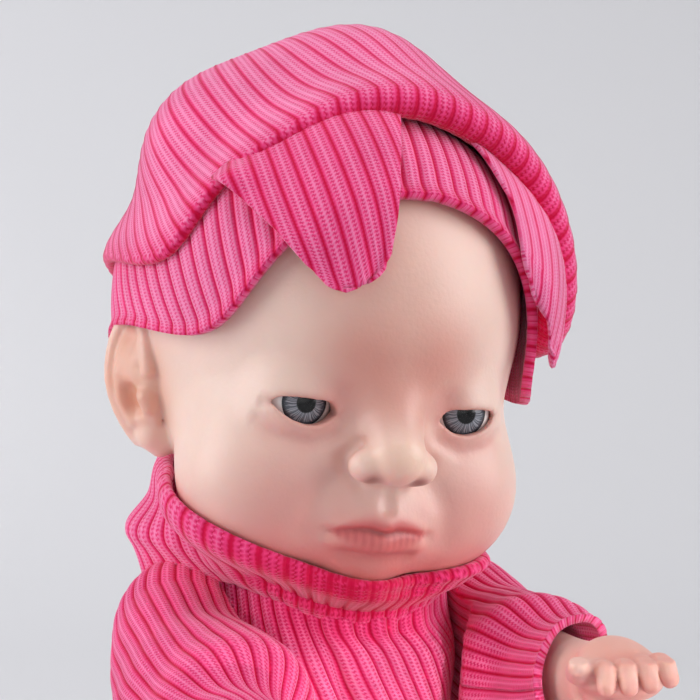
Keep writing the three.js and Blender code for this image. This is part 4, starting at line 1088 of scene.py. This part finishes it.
for number, middle, lean_round, reach, wider, aloof, corner, give, painted_shade in PETALS:
    along, across = np.meshgrid(np.linspace(0, 1, 50), np.linspace(-1, 1, 89), indexing="ij")
    half = np.interp(along, *zip(*PETAL)) + wider * eased((along - 0.5) / 0.4)
    turn = math.radians(middle) + across * half / HAT_RADIUS + along * math.radians(lean_round)
    polar = seam_polar(turn) - 0.02 + along * reach / HAT_RADIUS
    past = (polar - hem_polar(turn)) * HAT_RADIUS
    over_band = band_inside(turn, np.minimum(polar, hem_polar(turn))) + 3.4
    over_head = band_inside(turn, polar) + 1.4
    lowered = over_band + (over_head - over_band) * eased((past - 1.8) / 12.7)
    curl = 0.9 * np.abs(across) ** 4 * along + 0.5 * np.sin(3 * across + 2 * along)
    radius = np.maximum(lowered, over_head) + curl + aloof * (across + 1) / 2 * eased(along * 3)
    radius = radius + corner * bell(across + 1, 0.3) * bell(along - 0.14, 0.1)
    grid = on_hat(turn, polar, radius)
    if give is not None:
        grid = hung(grid, give)
    knit_sheet(f"hat_petal_{number}_knit", "hat", grid, across * half + 0.4 * RIB,
               [f"hat_petal_{number}"], closed=False,
               thick=1.1 - 0.75 * np.maximum(np.abs(across), along) ** 10, painted_shade=painted_shade)

# %% [markdown]
# ## Romper body
#
# The body of the romper is a stretched tube over the trunk, closed below the seat. It could be the
# trunk's own mesh, made thicker, but then the ribs would follow its quads. Instead its section is a
# rounded box that changes with height, with points spread evenly so all ribs are equally wide. It
# reaches out to the limbs at the shoulders and hips, so no gap shows there, and a pinched fold hangs
# on the chest beside the right sleeve. It is one sheet: the seam between the frame's two halves goes.

# %% Measures of the trunk
TRUNK = np.array([[14.7, 13.94, 2.5], [17.5, 17, 11.16], [17.8, 18, 34.27], [16.27, 15.33, 53.04],
                  [15.5, 14, 64.59], [13.5, 13.5, 76.4]])  # half width, half depth, height
SEAT_HEIGHT, NECK_HEIGHT = TRUNK[0, 2], TRUNK[-1, 2]
SHOULDER, HIP = (23.494, 0, 65.6), (28.988, -4, 17.6)
CORNERS = 0.86


def between(levels, heights, values):
    """A smooth curve through the values at the levels."""
    slope = np.gradient(values, levels)
    i = np.clip(np.searchsorted(levels, heights) - 1, 0, len(levels) - 2)
    span = levels[i + 1] - levels[i]
    t = (heights - levels[i]) / span
    return ((1 + 2 * t) * (1 - t) ** 2 * values[i] + t * (1 - t) ** 2 * span * slope[i]
            + t * t * (3 - 2 * t) * values[i + 1] + t * t * (t - 1) * span * slope[i + 1])


def trunk_size(height, more):
    """Half the width and half the depth of the trunk at a height, and a little more."""
    return [between(TRUNK[:, 2], height, TRUNK[:, k]) + more for k in (0, 1)]


def rounded(share, power):
    return np.sign(share) * np.abs(share) ** power


def box_section(width, depth, turn, height, power=CORNERS):
    x, y = width * rounded(np.sin(turn), power), -depth * rounded(np.cos(turn), power)
    return np.stack([x, y, height], -1)


def around(radius, turn, height):
    """Points round the upright axis; a turn of 0 is in front."""
    return np.stack(np.broadcast_arrays(radius * np.sin(turn), -radius * np.cos(turn), height), -1)


def even_round(grid, shifts):
    """The same rings, shifted round, with points spread evenly so the ribs keep one width."""
    spread = []
    for ring, shift in zip(grid, shifts):
        closed_ring = np.concatenate([ring, ring[:1]])
        steps = np.linalg.norm(np.diff(closed_ring, axis=0), axis=1)
        far = np.concatenate([[0], np.cumsum(steps)])
        wanted = (np.linspace(0, far[-1], len(ring), endpoint=False) + shift) % far[-1]
        spread.append(np.stack([np.interp(wanted, far, closed_ring[:, k]) for k in range(3)], 1))
    return np.array(spread)


def round_neck(turn, front, left, back, right):
    """A value round the neck from its values in front, at the two sides and at the back."""
    ahead = np.cos(turn)
    side = np.where(np.sin(turn) > 0, left, right)
    return side + (np.where(ahead > 0, front, back) - side) * ahead * ahead


def neck_seam(turn):
    """Radius and height of the seam between romper and collar: low in front, up on the shoulders."""
    return round_neck(turn, 20.0, 18.4, 17.0, 18.4), round_neck(turn, 71.6, 76.0, 77.0, 79.4)


print("trunk from", SEAT_HEIGHT, "to", NECK_HEIGHT, "mm")

# %% Romper body
BODY_RIBS = 44
SEAT_ROWS, BODY_ROWS = 12, 90
OVER_TRUNK = 1.7
PADS = ((SHOULDER, 18.6, 12.0), (HIP, 20.4, 15.0))  # where, how far out it reaches, how wide

heights = np.concatenate([np.full(SEAT_ROWS, SEAT_HEIGHT),
                          np.linspace(SEAT_HEIGHT, NECK_HEIGHT, BODY_ROWS)[1:]])
closing = np.concatenate([np.linspace(0.06, 1, SEAT_ROWS), np.ones(BODY_ROWS - 1)])
height, turn = np.meshgrid(heights, all_round(BODY_RIBS * COLUMNS), indexing="ij")
closing = np.broadcast_to(closing[:, None], height.shape)
width, depth = trunk_size(height, OVER_TRUNK)
seat = 3.2 * np.clip(-np.cos(turn), 0, 1) * bell(height - 15, 10)
chest = np.clip(np.cos(turn) + 0.2, 0, 1) ** 0.5 * bell(height - 64, 15)
boxy = CORNERS - 0.3 * chest
creases = 0.35 * np.sin(4 * turn + height * 0.21) * np.sin(height * 0.16 + 1.3 * np.cos(turn))
out = closing + creases * closing / 18
under_seat = OVER_TRUNK * np.sqrt(1 - 0.98 * (1 - closing) ** 0.5) * (height < SEAT_HEIGHT + 0.1)
depth = depth + 4.6 * chest + seat
grid = box_section(width * out, depth * out, turn, height - under_seat, boxy)
grid = even_round(grid, 11 * eased((NECK_HEIGHT - heights) / 34))
for (_, y, z), reach, wide in PADS:
    aside = np.abs(grid[..., 0])
    away = np.hypot(grid[..., 1] - y, grid[..., 2] - z) / wide
    pulled = np.maximum(reach - aside, 0) * (1 - eased((away - 0.55) / 0.75))
    grid[..., 0] += np.sign(grid[..., 0]) * pulled * eased((aside - 5) / 11)
turn = np.arctan2(grid[..., 0], -grid[..., 1])
seam_radius, seam_height = neck_seam(turn)
seam = around(seam_radius, turn, height + seam_height - NECK_HEIGHT)
grid = grid + (seam - grid) * eased((height - 64) / 12.4)[..., None]
gathers = 0.5 * np.sin(13 * turn + 2 * np.sin(3 * turn)) * bell(height - 73, 5)
grid = grid + around(gathers, turn, 0.0)
aside = grid[..., 0] + 4.8 + 0.3 * (height - 60)
pinch = 1.2 * bell(aside - 4.2, 2.4) - 1.9 * bell(aside, 1.7)
grid[..., 1] -= pinch * bell(height - 58, 9) * (np.cos(turn) > 0)
# Painted shade on the chest under the collar.
knit_sheet("romper_knit", "trunk", grid, rib_measure(BODY_RIBS, turn.shape),
           ["romper_front", "romper_back"],
           fade=np.clip(closing * 1.1, 0.1, 1), thick=1.0,
           painted_shade=0.35 * bell(height - 75, 6) * np.clip(np.cos(turn), 0, 1))

# %% [markdown]
# ## Trunk under the romper
#
# The trunk hardly shows, but a doll has one. It is the same rounded box, a little smaller, with its
# ends drawn in and a navel pressed into the front.

# %% Trunk
NAVEL = 1.2
rise = np.linspace(0, 1, 64)
heights = 3.6 + 71.6 * (1 - np.cos(math.pi * rise)) / 2
closing = np.clip(1.9 * np.sin(math.pi * rise) ** 0.6, 0.01, 1)[:, None]
height, turn = np.meshgrid(heights, all_round(120), indexing="ij")
width, depth = (size * closing for size in trunk_size(height, -0.2))
navel = NAVEL * bell(turn, 0.12) * bell(height - 33, 2)
points = box_section(width, depth - navel, turn, height).reshape(-1, 3)
faces = grid_quads(*height.shape)[1]
# Painted shade in the hollow of the navel.
colour = brushed(bare(points), (navel / NAVEL).ravel(), BLUSH_AND_SHADE, 0.6)
torso_skin = placed("torso_skin", points, faces, vinyl, colour=colour)
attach(torso_skin, "trunk")
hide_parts("torso_shell")
print("trunk", len(faces), "quads")

# %% [markdown]
# ## Collar
#
# A tall soft collar is folded round the neck. It is sewn to the top of the romper, spreads over the
# shoulders and then hugs the jaw, low under the chin and high at the doll's right and at the nape.
# How far out the head is at each height is found by walking inwards, so the lip lies against it.
# The head turns inside it; the collar is not attached to the trunk or the head, so it stays where it
# is.

# %% Collar
COLLAR_RIBS = 56
COLLAR_ROWS = 56
EASE = 0.9  # room between the head and the collar


def outside_head(turn, height):
    """The radius just outside the head, coming in from far away."""
    far = np.full(turn.shape, 46.0)
    for _ in range(40):
        gap = head.at((around(far, turn, height) - HEAD_MIDDLE) @ HEAD_TURN) - EASE
        far = np.maximum(far - 0.8 * gap, NECK_RADIUS + EASE)
    return far


turns = all_round(COLLAR_RIBS * COLUMNS)
top = HEAD_MIDDLE[2] - round_neck(turns, 34.0, 30.8, 15.0, 17.8)
spread = bell(turns + 1.95, 0.6)
foot, foot_height = neck_seam(turns)
foot = foot - 0.8
ledge_height = foot_height + 0.35 * (top - foot_height)
middle_height = (top + ledge_height) / 2
lip = np.maximum(outside_head(turns, top), foot + 3.2) + 2.2 * spread
waist = np.maximum(outside_head(turns, middle_height), foot + 0.72 * (lip - foot)) + 3.6 * spread
ledge = np.maximum(outside_head(turns, ledge_height), foot + round_neck(turns, 1.2, 3.5, 6, 6.5))
ledge = ledge + 6 * spread
foot = foot + 11 * spread
knots = np.stack([  # radius and height from the seam up to the lip and over it
    [foot, foot_height - 1.0 - 2.5 * spread],
    [(foot + ledge) / 2 + 0.6, foot_height + 0.3 * (ledge_height - foot_height)],
    [ledge + 0.8, ledge_height],
    [waist + 1.2, middle_height],
    [lip + 0.9, top - 0.4],
    [lip + 0.3, top + 0.5],
    [lip - 0.5, top - 0.6],
])
knots = evened(knots, 30, axis=2)
steps = np.arange(float(len(knots)))
row = np.linspace(0, steps[-1], COLLAR_ROWS)
radius, height = (np.stack([between(steps, row, knots[:, k, i]) for i in range(len(turns))], 1)
                  for k in (0, 1))
turn = np.broadcast_to(turns, radius.shape)
level = np.broadcast_to(row[:, None] / steps[-1], radius.shape)
folds = np.sin(math.pi * level) * np.sin(5 * level * math.pi + 2.2 * np.sin(turn + 0.5))
# Painted shade on the front of the collar, under the chin.
knit_sheet("collar_knit", ("trunk", "head", (0, 0, 0.074), (0, 0, 0.096)),
           around(radius + 0.5 * folds, turn, height), rib_measure(COLLAR_RIBS, turn.shape),
           ["collar"],
           fade=0.75 - 0.6 * eased((level - 0.25) / 0.45),
           painted_shade=0.8 * bell(turn + 0.1, 0.75) * eased((level + 0.1) / 0.4))

# %% [markdown]
# ## Arms and legs
#
# Each limb is sculpted once, for the left side, in a frame at the middle of its joint and reaching
# forward. The right one is its mirror image. Limbs taper to the wrist and ankle with a crease where a
# baby's skin folds. Fingers curl a little and toes are round. The inner side is cut flat, in the
# plane in which the limb swings, but not at the hand, which would lose its thumb.

# %% Measures of the limbs
ARM = [(0, 0, 0), (4.515, -25.605, 0), (3.738, -47.84, 8.99)]
LEG = [(0, 0, 0), (14.325, -41.603, 0), (7.854, -74.897, -2.372)]
ARM_PLANE, LEG_PLANE = -4.4, -8.0
ARM_LENGTH, LEG_LENGTH = 49.9, 78.3
PLANE_ROOM = 1.9
HAND_FROM = -41
DOWN = np.array([0, 0, -1.0])


def limb_path(points):
    """A smooth line through three points, and its direction."""
    a, b, c = (np.array(p, float) for p in points)

    def at(share):
        s = np.asarray(share, float)[..., None]
        return a * (1 - s) * (1 - 2 * s) + b * 4 * s * (1 - s) + c * s * (2 * s - 1)

    def way(share):
        step = at(np.asarray(share) + 0.01) - at(np.asarray(share) - 0.01)
        return step / np.linalg.norm(step, axis=-1, keepdims=True)

    return at, way


def arm_radius(s):
    return 9 - 3 * s + 0.5 * np.sin(math.pi * s)


def leg_radius(s):
    return 13.4 - 4.9 * s + 0.55 * np.sin(math.pi * s)


def circle(middle, radius, across, up):
    turn = np.linspace(0, 2 * math.pi, 25)[:, None]
    return middle + radius * (np.cos(turn) * across + np.sin(turn) * up)


arm_at, arm_way = limb_path(ARM)
leg_at, leg_way = limb_path(LEG)
shares = np.linspace(0, 1, 14)
print("wrist", arm_at(1.0), "ankle", leg_at(1.0))

# %% Arm and hand
arm = Clay((-12, -78, -16), (18, 12, 16), 0.4)
arm.add(rod(arm_at(shares), arm_radius(shares)), 1)
wrist, along = arm_at(1.0), arm_way(1.0)
side_way = unit(np.array([1, 0, 0]) - along * along[0])
palm = wrist + along * 5.46
arm.add(ellipsoid(palm, (6.3, 7.8, 3.9)), 2.4)
knuckles = []
for k in range(4):
    root = palm + along * 4.4 + side_way * (k - 1.5) * 2.9
    reach = 8.2 - 0.55 * (k - 1.3) ** 2
    spread = side_way * (k - 1.5) * 0.06
    mid = root + (along + spread + 0.4 * DOWN) * reach * 0.5
    tip = mid + (0.62 * along + spread + 0.8 * DOWN) * reach * 0.5
    knuckles.append((root, mid, tip))
    arm.add(rod([root - along * 2, root, mid, tip], [1.6, 1.6, 1.55, 1.4]), 0.35)
thumb = palm - side_way * 4.5 - along * 0.8
thumb_line = [thumb, thumb + (along * 0.8 - 0.7 * side_way) * 4.2,
              thumb + (along * 1.1 - 0.6 * side_way) * 7.2]
arm.add(rod(thumb_line, [2.3, 2.0, 1.6]), 1.6)
arm.dent(circle(wrist, 6.0, side_way, np.cross(along, side_way)), 0.7, 1.0)
for root, mid, tip in knuckles:
    arm.dent([root + (0, 0, 2), root + (0, 0.3, 2.1)], 0.45, 1.0)
    arm.dent([mid + (-0.7, 0, 2), mid + (0.7, 0, 2)], 0.2, 0.45)
    arm.dent([tip + (0, -1.2, 0.9), tip + (0, -0.4, 1.5)], 0.22, 0.6)
arm.cut(lambda x, y, z: np.maximum(x - ARM_PLANE - PLANE_ROOM, HAND_FROM - y) + 0 * z, 0.3)
print("arm block", arm.far.shape)

# %% Leg and foot
leg = Clay((-17, -96, -26), (32, 18, 26), 0.6)
leg.add(rod(leg_at(shares), leg_radius(shares)), 1)
ankle, shin = leg_at(1.0), leg_way(1.0)
lean = turn_about("X", -18)
foot_middle = ankle + shin * 3.6 + (0, 0, 4.0)


def foot_sole(x, y, z):
    a, b, c = in_frame(x, y, z, foot_middle, lean.T)
    return ellipsoid((0, 0, 0), (7.3, 5.6, 14.2))(a + 0.06 * c, b + 0.012 * c * c * (c < 4), c)


def on_foot(*place):
    return lean @ np.array(place)


leg.add(foot_sole, 4)
for k in range(5):
    at = foot_middle + on_foot((k - 2) * 2.95, -1.0, 12.8 - 0.5 * (k - 1) ** 2)
    size = 2.7 if k == 0 else 2.05 - 0.08 * k
    leg.add(rod([at, at + on_foot(0, -0.4, 2.0)], [size, size * 0.92]), 1.0)
    leg.dent([at + on_foot(0, 2.2, 2.6), at + on_foot(0, 1.6, 3.4)], 0.2, 0.7)
leg.dent(circle(ankle - shin * 1.2, 8.2, np.array([1.0, 0, 0]), -DOWN), 0.9, 1.5)
leg.cut(lambda x, y, z: x - LEG_PLANE - PLANE_ROOM + 0 * y + 0 * z, 0.3)
print("leg block", leg.far.shape)

# %% Painted limbs
SIDES = {"right": -1, "left": 1}
ARM_SWING = {"right": 24, "left": 11}
HAND_BLUSH = linear(216, 116, 98)


def body_place(points, side, turn, joint):
    """From a limb's own frame to the doll's."""
    return ((points @ turn_about("X", turn).T) * (side, 1, 1)) + np.array(joint) * (side, 1, 1)


def far_from(points, place):
    return np.linalg.norm(points - place, axis=1)


def arm_colour(points):
    colour = bare(points)
    for root, mid, tip in knuckles:
        spots = (root + (0, 0, 2), mid + (0, 0, 1.6), tip + (0, -1, 0))
        near = np.min([far_from(points, spot) for spot in spots], axis=0)
        colour = brushed(colour, bell(near, 1.9), BLUSH_AND_SHADE, 0.4)
    return brushed(colour, bell(far_from(points, palm), 14), HAND_BLUSH, 0.55)


def leg_colour(points):
    heel = far_from(points, foot_middle + (0, -2, -11))
    toes = np.linalg.norm((points - (foot_middle + on_foot(0, -1, 14.0))) * (0.5, 1, 1), axis=1)
    return brushed(bare(points), bell(heel, 6) + bell(toes, 4), BLUSH_AND_SHADE, 0.5)


LIMBS = [("arm", arm, arm_colour, SHOULDER), ("leg", leg, leg_colour, HIP)]
for kind, clay, colour_of, joint in LIMBS:
    points, quads = clay.skin()
    for name, side in SIDES.items():
        at = body_place(points, side, ARM_SWING[name] if kind == "arm" else 0, joint)
        facing = quads if side > 0 else quads[:, ::-1]
        made = placed(f"{kind}_{name}_skin", at, facing, vinyl, colour=colour_of(points))
        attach(made, f"{name}_{kind}")
        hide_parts(f"{kind}_{name}")
        print(made.name, len(quads), "quads")

# %% [markdown]
# ## Sleeves and romper legs
#
# A sleeve is a wide tube round the arm with soft folds across it. It starts as a round cap behind the
# shoulder, tucked in to the trunk, and ends in an open hem. On the inside it is pressed flat against
# the body, in the plane in which the arm swings. A cap that only swung with the arm would leave the
# trunk, so a sleeve is not attached to the arm and stays where it is; a romper leg swings with its
# leg. The ribs follow the limb; on the right sleeve they wind round it a little, as a sleeve does
# when the arm turns inwards.

# %% Tubes of knit
CAP_ROWS = 22
ARM_RIBS, LEG_RIBS = 30, 32
TROUSER = 70 / LEG_LENGTH
OVER_LIMB = 2.0


def knit_tube(name, body, nodes, rests_on, at, way, end, radius_at, plane, ribs, place, side, rows,
              twist=0.0, slant=0.0, inwards=0.0, lifted=0.0):
    """A cap behind the joint and a tube along the limb; slant lets the inside reach further."""
    cap = np.linspace(math.radians(89.9), 0, CAP_ROWS)[:-1]
    share = np.concatenate([np.zeros(len(cap)), np.linspace(0, end, rows)])
    lean_back = np.concatenate([cap, np.zeros(rows)])
    s, a = np.meshgrid(share, all_round(ribs * COLUMNS), indexing="ij")
    back = np.broadcast_to(lean_back[:, None], s.shape)
    hem = bell(end - s, 0.03 * end)
    a = a + twist * s / end
    s = s * (1 + slant * (1 - np.cos(a)) / 2)
    forward = way(s)
    side_axis = np.array([1.0, 0, 0]) - forward * forward[..., :1]
    side_axis = side_axis / np.linalg.norm(side_axis, axis=-1, keepdims=True)
    up_axis = np.cross(forward, side_axis)
    radius = radius_at(s, a)
    ring = np.cos(a)[..., None] * side_axis + np.sin(a)[..., None] * up_axis
    blunt = np.cos(back) ** 0.55
    grid = at(s) + (radius * blunt)[..., None] * ring - (radius * np.sin(back))[..., None] * forward
    on_top = bell(s * ARM_LENGTH - 10, 15) * np.clip(np.sin(a) + 0.3, 0, 1) * blunt
    grid[..., 2] += lifted * on_top
    grid[..., 0] -= radius * (back / (math.pi / 2)) ** 3
    limit = plane + 0.9 - inwards * eased((-grid[..., 1] - 12) / 14)
    pressed = grid[..., 0] < limit
    grid[..., 0] = np.maximum(grid[..., 0], limit)
    # Sleeves and romper legs get a little painted shade all over.
    knit_sheet(name, body, place(grid), rib_measure(ribs, s.shape), nodes,
               fade=np.clip(blunt, 0.1, 1) * np.where(pressed, 0.3, 1),
               swell=0.35 * hem, flip=side < 0, thick=1.0, painted_shade=0.14)


def sleeve_radius(end, seed, flare, fuller):
    def radius(s, a):
        along = s * ARM_LENGTH
        folds = np.sin(2 * math.pi * along / 13 + a + seed) * np.minimum(3 * s, 1)
        bunch = fuller * (1 - np.cos(a)) / 2 * bell(along - 22, 9)
        loose = flare * np.minimum(s / end, 1) + bunch + 0.3 * folds
        return arm_radius(s) + OVER_LIMB + loose + 0.4 * np.sin(2 * a + 9 * s + seed)
    return radius


def trouser_radius(s, a):
    loose = np.minimum(3 * s, 1) + 3.4 * np.sin(math.pi * np.minimum(s / TROUSER, 1)) * s
    folds = 0.9 * np.sin(2 * math.pi * s * LEG_LENGTH / 17 + 2 * a) * s
    return leg_radius(s) + OVER_LIMB + loose + folds


print("tubes ready")

# %% Sleeves and romper legs
SLEEVES = [  # side, length, flare and fullness, and how the tube winds, slants and is moved
    ("right", 54, 2.0, 6.0, dict(twist=1.1, slant=0.2, inwards=12, lifted=2.8)),
    ("left", 25, 0.6, 3.5, dict(twist=0.0, slant=0.75, inwards=6, lifted=0.0)),
]
for name, length, flare, fuller, moved in SLEEVES:
    side = SIDES[name]

    def on_arm(grid):
        return body_place(grid, side, ARM_SWING[name], SHOULDER)

    def on_leg(grid):
        return body_place(grid, side, 0, HIP)

    end = length / ARM_LENGTH
    first, last = (on_arm(arm_at(share)) * MM for share in (0.1, 0.6))
    knit_tube(f"sleeve_{name}_knit", ("trunk", f"{name}_arm", first, last), [f"sleeve_{name}"],
              [f"arm_{name}"], arm_at, arm_way, end, sleeve_radius(end, 0.4 * side, flare, fuller),
              ARM_PLANE, ARM_RIBS, on_arm, side, 70, **moved)
    knit_tube(f"romper_leg_{name}_knit", f"{name}_leg", [f"romper_leg_{name}"],
              [f"leg_{name}"], leg_at, leg_way, TROUSER, trouser_radius,
              LEG_PLANE, LEG_RIBS, on_leg, side, 90)

# %% Finish
low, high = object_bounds()
for axis, *ends in zip("xyz", cad_low, cad_high, low, high):
    a, b, c, d = (round(end / MM, 1) for end in ends)
    print(axis, "CAD", a, b, "scene", c, d)
